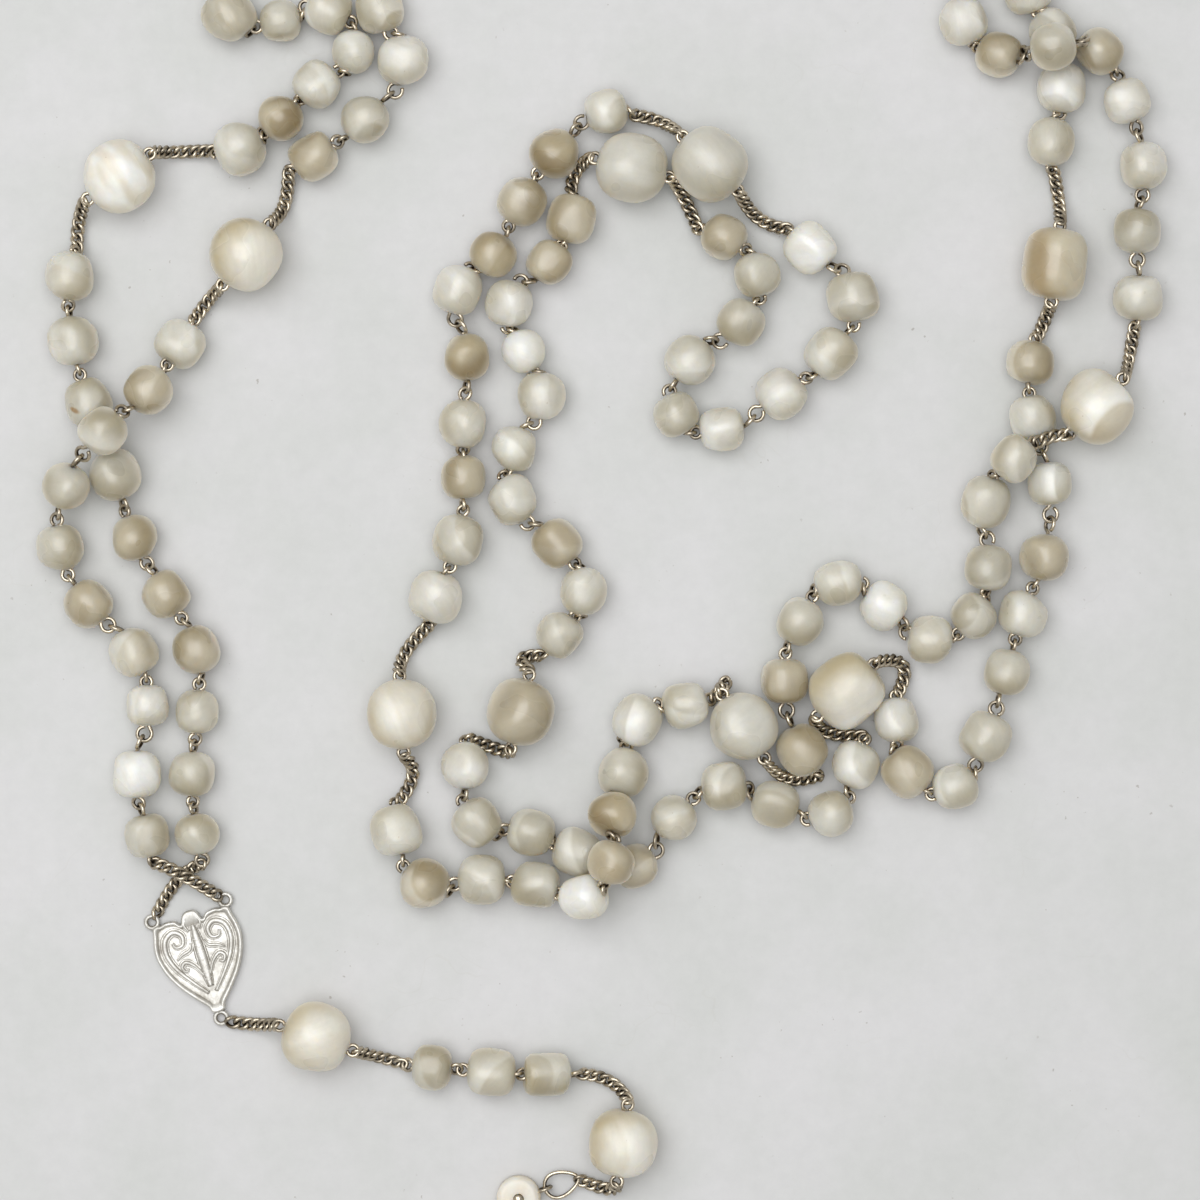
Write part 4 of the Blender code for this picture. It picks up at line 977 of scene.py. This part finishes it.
def build_cross():
    """The nacre cross, the silver studs on it and the eye that its ring passes through."""
    outline = cross_outline()
    local = np.stack([
        np.column_stack([outline_inset(outline, -d), np.full(len(outline), z)]) for d, z in CROSS_PROFILE
    ])
    shape = Shape()
    # The top face takes the bright colour, as painted light from above, and a faint band of painted sheen
    nacre = np.stack([local[..., 2] / 2.2 - 0.6, local[..., 0] / 6, local[..., 1] / 6], -1)
    bright, rim = (linear(c) for c in CROSS_TONE)
    shape.grid(
        cross_place(local), nacre=nacre, bright=bright, rim=rim, pit=0.0, band=0.2, stripes=0.4, edge=0.0,
        seed=7.0, stain=0.0,
    )
    shape.keep("cross_nacre", HOME["cross"], NACRE, "mother_of_pearl", ["cross"], sharp=50)

    metal = Shape()
    angle = np.linspace(0, 2 * math.pi, STUD_SIDES, endpoint=False)
    for x, y in [*CROSS_ENDS, (0.0, -CROSS_ARM_AT)]:
        rows = [
            np.stack(np.broadcast_arrays(x + r * np.cos(angle), y + r * np.sin(angle), CROSS_THICK + z), -1)
            for r, z, _ in STUD
        ]
        # Painted shade and oxide round each stud's foot
        metal.grid(cross_place(rows), tarnish=[[darkening] for _, _, darkening in STUD])
    eye_at = Vector((*CROSS_TOP, BAIL_CENTRE.z)) + BAIL_AXIS * CROSS_EYE_AT
    oval_wire(metal, eye_at, BAIL_AXIS, UP, CROSS_EYE_R, CROSS_EYE_R, CROSS_EYE_WIRE)
    metal.keep("cross_studs_and_eye", HOME["cross"], SILVER, "silver", sharp=60)


def gap_middle(ends, i):
    """The middle of the gap between pendant small bead i and the next."""
    a, b = ends[i + 1], ends[i + 2]
    reach = ((b - a).length + PENDANT_SIZES[i][1] - PENDANT_SIZES[i + 1][1]) / 2
    return a + (b - a).normalized() * reach


def build_pendant():
    """From the medal down: chain, large bead, chain, three small beads, chain, large bead, chain, ring."""
    pins = {}
    for number, at, along in ((1, PENDANT_BEAD_1, PENDANT_AXIS_1), (2, PENDANT_BEAD_2, PENDANT_AXIS_2)):
        node = f"pendant_pin_{number}"
        rested, back, front = large_bead(f"pendant_bead_{number}", point(at, BIG_Z), along)
        metal = Shape()
        pins[number] = pin(metal, rested, along, back, front, PENDANT_MEET, random.Random(node))
        metal.keep(f"{node}_wire", HOME[node], SILVER, "silver", [node])
    first, via = (point(p, SAG_Z) for p in PENDANT_CHAIN_1)
    lone_chain("pendant_chain_1", first, via, pins[1][0])
    via, last = (point(p, SAG_Z) for p in PENDANT_CHAIN_2)
    lone_chain("pendant_chain_2", pins[1][1], via, last)
    start, via_3 = (point(p, SAG_Z) for p in PENDANT_CHAIN_3)
    lone_chain("pendant_chain_3", start, via_3, pins[2][0])
    via_4, end = (point(p, SAG_Z) for p in PENDANT_CHAIN_4)
    lone_chain("pendant_chain_4", pins[2][1], via_4, end)
    ends = [last, *(point(p, SMALL_Z) for p in PENDANT_SMALL), start]
    for i in range(3):
        node = f"pendant_small_{i + 1}"
        before = ends[i] if i == 0 else gap_middle(ends, i - 1)
        after = ends[i + 2] if i == 2 else gap_middle(ends, i)
        beads, wires = strand(node, [before, ends[i + 1], after], PENDANT_TONES[i], [PENDANT_SIZES[i]])
        beads.keep(f"{node}_nacre", HOME[node], NACRE, "mother_of_pearl", [node])
        wires.keep(f"{node}_wire", HOME[node], SILVER, "silver")
    ring = Shape()
    across = Vector((-BAIL_AXIS.y, BAIL_AXIS.x, 0))
    oval_wire(ring, BAIL_CENTRE, BAIL_AXIS, across, BAIL_LONG, BAIL_WIDE, WIRE_R, pear=0.3)
    ring.keep("bail_ring", HOME["bail"], SILVER, "silver", ["bail"])


def build_loop():
    """The fifteen decades, the links between them and the two chains to the medal."""
    upper_far, upper_links = hidden_run(UPPER_2_START, UPPER_4_END, *UPPER_ARCH, UPPER_RUN)
    lower_far, lower_links = hidden_run(LOWER_2_START, LOWER_4_END, *LOWER_ARCH, LOWER_RUN)
    decades = {
        "upper": [UPPER_1, *upper_far, UPPER_5, UPPER_6, UPPER_7],
        "lower": [LOWER_1, *lower_far, LOWER_5, LOWER_6, LOWER_7],
    }
    links = {
        "upper": [UPPER_LINKS[0], *upper_links, *UPPER_LINKS[1:]],
        "lower": [LOWER_LINKS[0], *lower_links, *LOWER_LINKS[1:]],
    }
    routes = {f"{side}_decade_{i + 1}": p for side in decades for i, p in enumerate(decades[side])}
    routes["end_decade"] = END_DECADE
    for node, points in routes.items():
        rng = random.Random(node + "_sizes")
        sizes = []
        tones, codes = DECADES[node]
        for code in codes:
            radius = SIZES[code] + rng.uniform(-0.06, 0.06)
            sizes.append((radius, radius * rng.uniform(0.93, 1.03), None))
        beads, wires = strand(node, points, tones, sizes)
        beads.keep(f"{node}_beads", HOME[node], NACRE, "mother_of_pearl", [node])
        wires.keep(f"{node}_wires", HOME[node], SILVER, "silver")
    for side in links:
        for i, points in enumerate(links[side]):
            link(side, i + 1, points)
    rings = {"upper": (MEDAL_CHAIN_UPPER, MEDAL_RINGS[1]), "lower": (MEDAL_CHAIN_LOWER, MEDAL_RINGS[0])}
    for name, (way, ring) in rings.items():
        start, via = (point(p, EYE_Z) for p in way[:2])
        middle = Vector(medal_place((*ring, RING_Z)))
        toward = (via - middle).normalized()
        lone_chain(f"medal_chain_{name}", start, via, middle + toward * (RING_R + 0.1))


def build_stage():
    """A pale floor, soft light from all round and a little from the upper left, and the camera above."""
    floor = bpy.data.meshes.new("floor")
    floor.from_pydata([(-2, -2, 0), (2, -2, 0), (2, 2, 0), (-2, 2, 0)], [], [(0, 1, 2, 3)])
    floor.materials.append(floor_material())
    card = bpy.data.objects.new("floor", floor)
    bpy.context.scene.collection.objects.link(card)

    world = bpy.data.worlds.new("studio")
    world.use_nodes = True
    nodes, links = world.node_tree.nodes, world.node_tree.links
    way = nodes.new("ShaderNodeTexCoord")
    split = nodes.new("ShaderNodeSeparateXYZ")
    height = nodes.new("ShaderNodeMapRange")
    height.inputs["From Min"].default_value, height.inputs["From Max"].default_value = 0.0, 0.75
    blend = nodes.new("ShaderNodeMix")
    blend.data_type = "RGBA"
    blend.inputs[6].default_value, blend.inputs[7].default_value = (*HORIZON, 1), (*ZENITH, 1)
    links.new(way.outputs["Generated"], split.inputs["Vector"])
    links.new(split.outputs["Z"], height.inputs["Value"])
    links.new(height.outputs["Result"], blend.inputs["Factor"])
    links.new(blend.outputs[2], nodes["Background"].inputs["Color"])
    nodes["Background"].inputs["Strength"].default_value = SKY_STRENGTH
    bpy.context.scene.world = world
    for name, at, size, power in LAMPS:
        lamp = bpy.data.lights.new(name, "AREA")
        lamp.shape, lamp.size, lamp.energy = "DISK", size, power
        holder = bpy.data.objects.new(name, lamp)
        holder.location = Vector(at)
        holder.rotation_euler = (Vector(VIEW_CENTRE) - holder.location).to_track_quat("-Z", "Y").to_euler()
        bpy.context.scene.collection.objects.link(holder)

    camera = bpy.data.cameras.new("camera")
    camera.lens, camera.sensor_width = LENS, SENSOR
    eye_point = bpy.data.objects.new("camera", camera)
    height = VIEW_WIDE * LENS / SENSOR + SMALL_Z * MM
    eye_point.location = (VIEW_CENTRE[0], VIEW_CENTRE[1], height)
    bpy.context.scene.collection.objects.link(eye_point)
    bpy.context.scene.camera = eye_point
    bpy.context.scene.view_settings.view_transform = "Standard"


build_loop()
build_medal()
build_pendant()
build_cross()
build_stage()
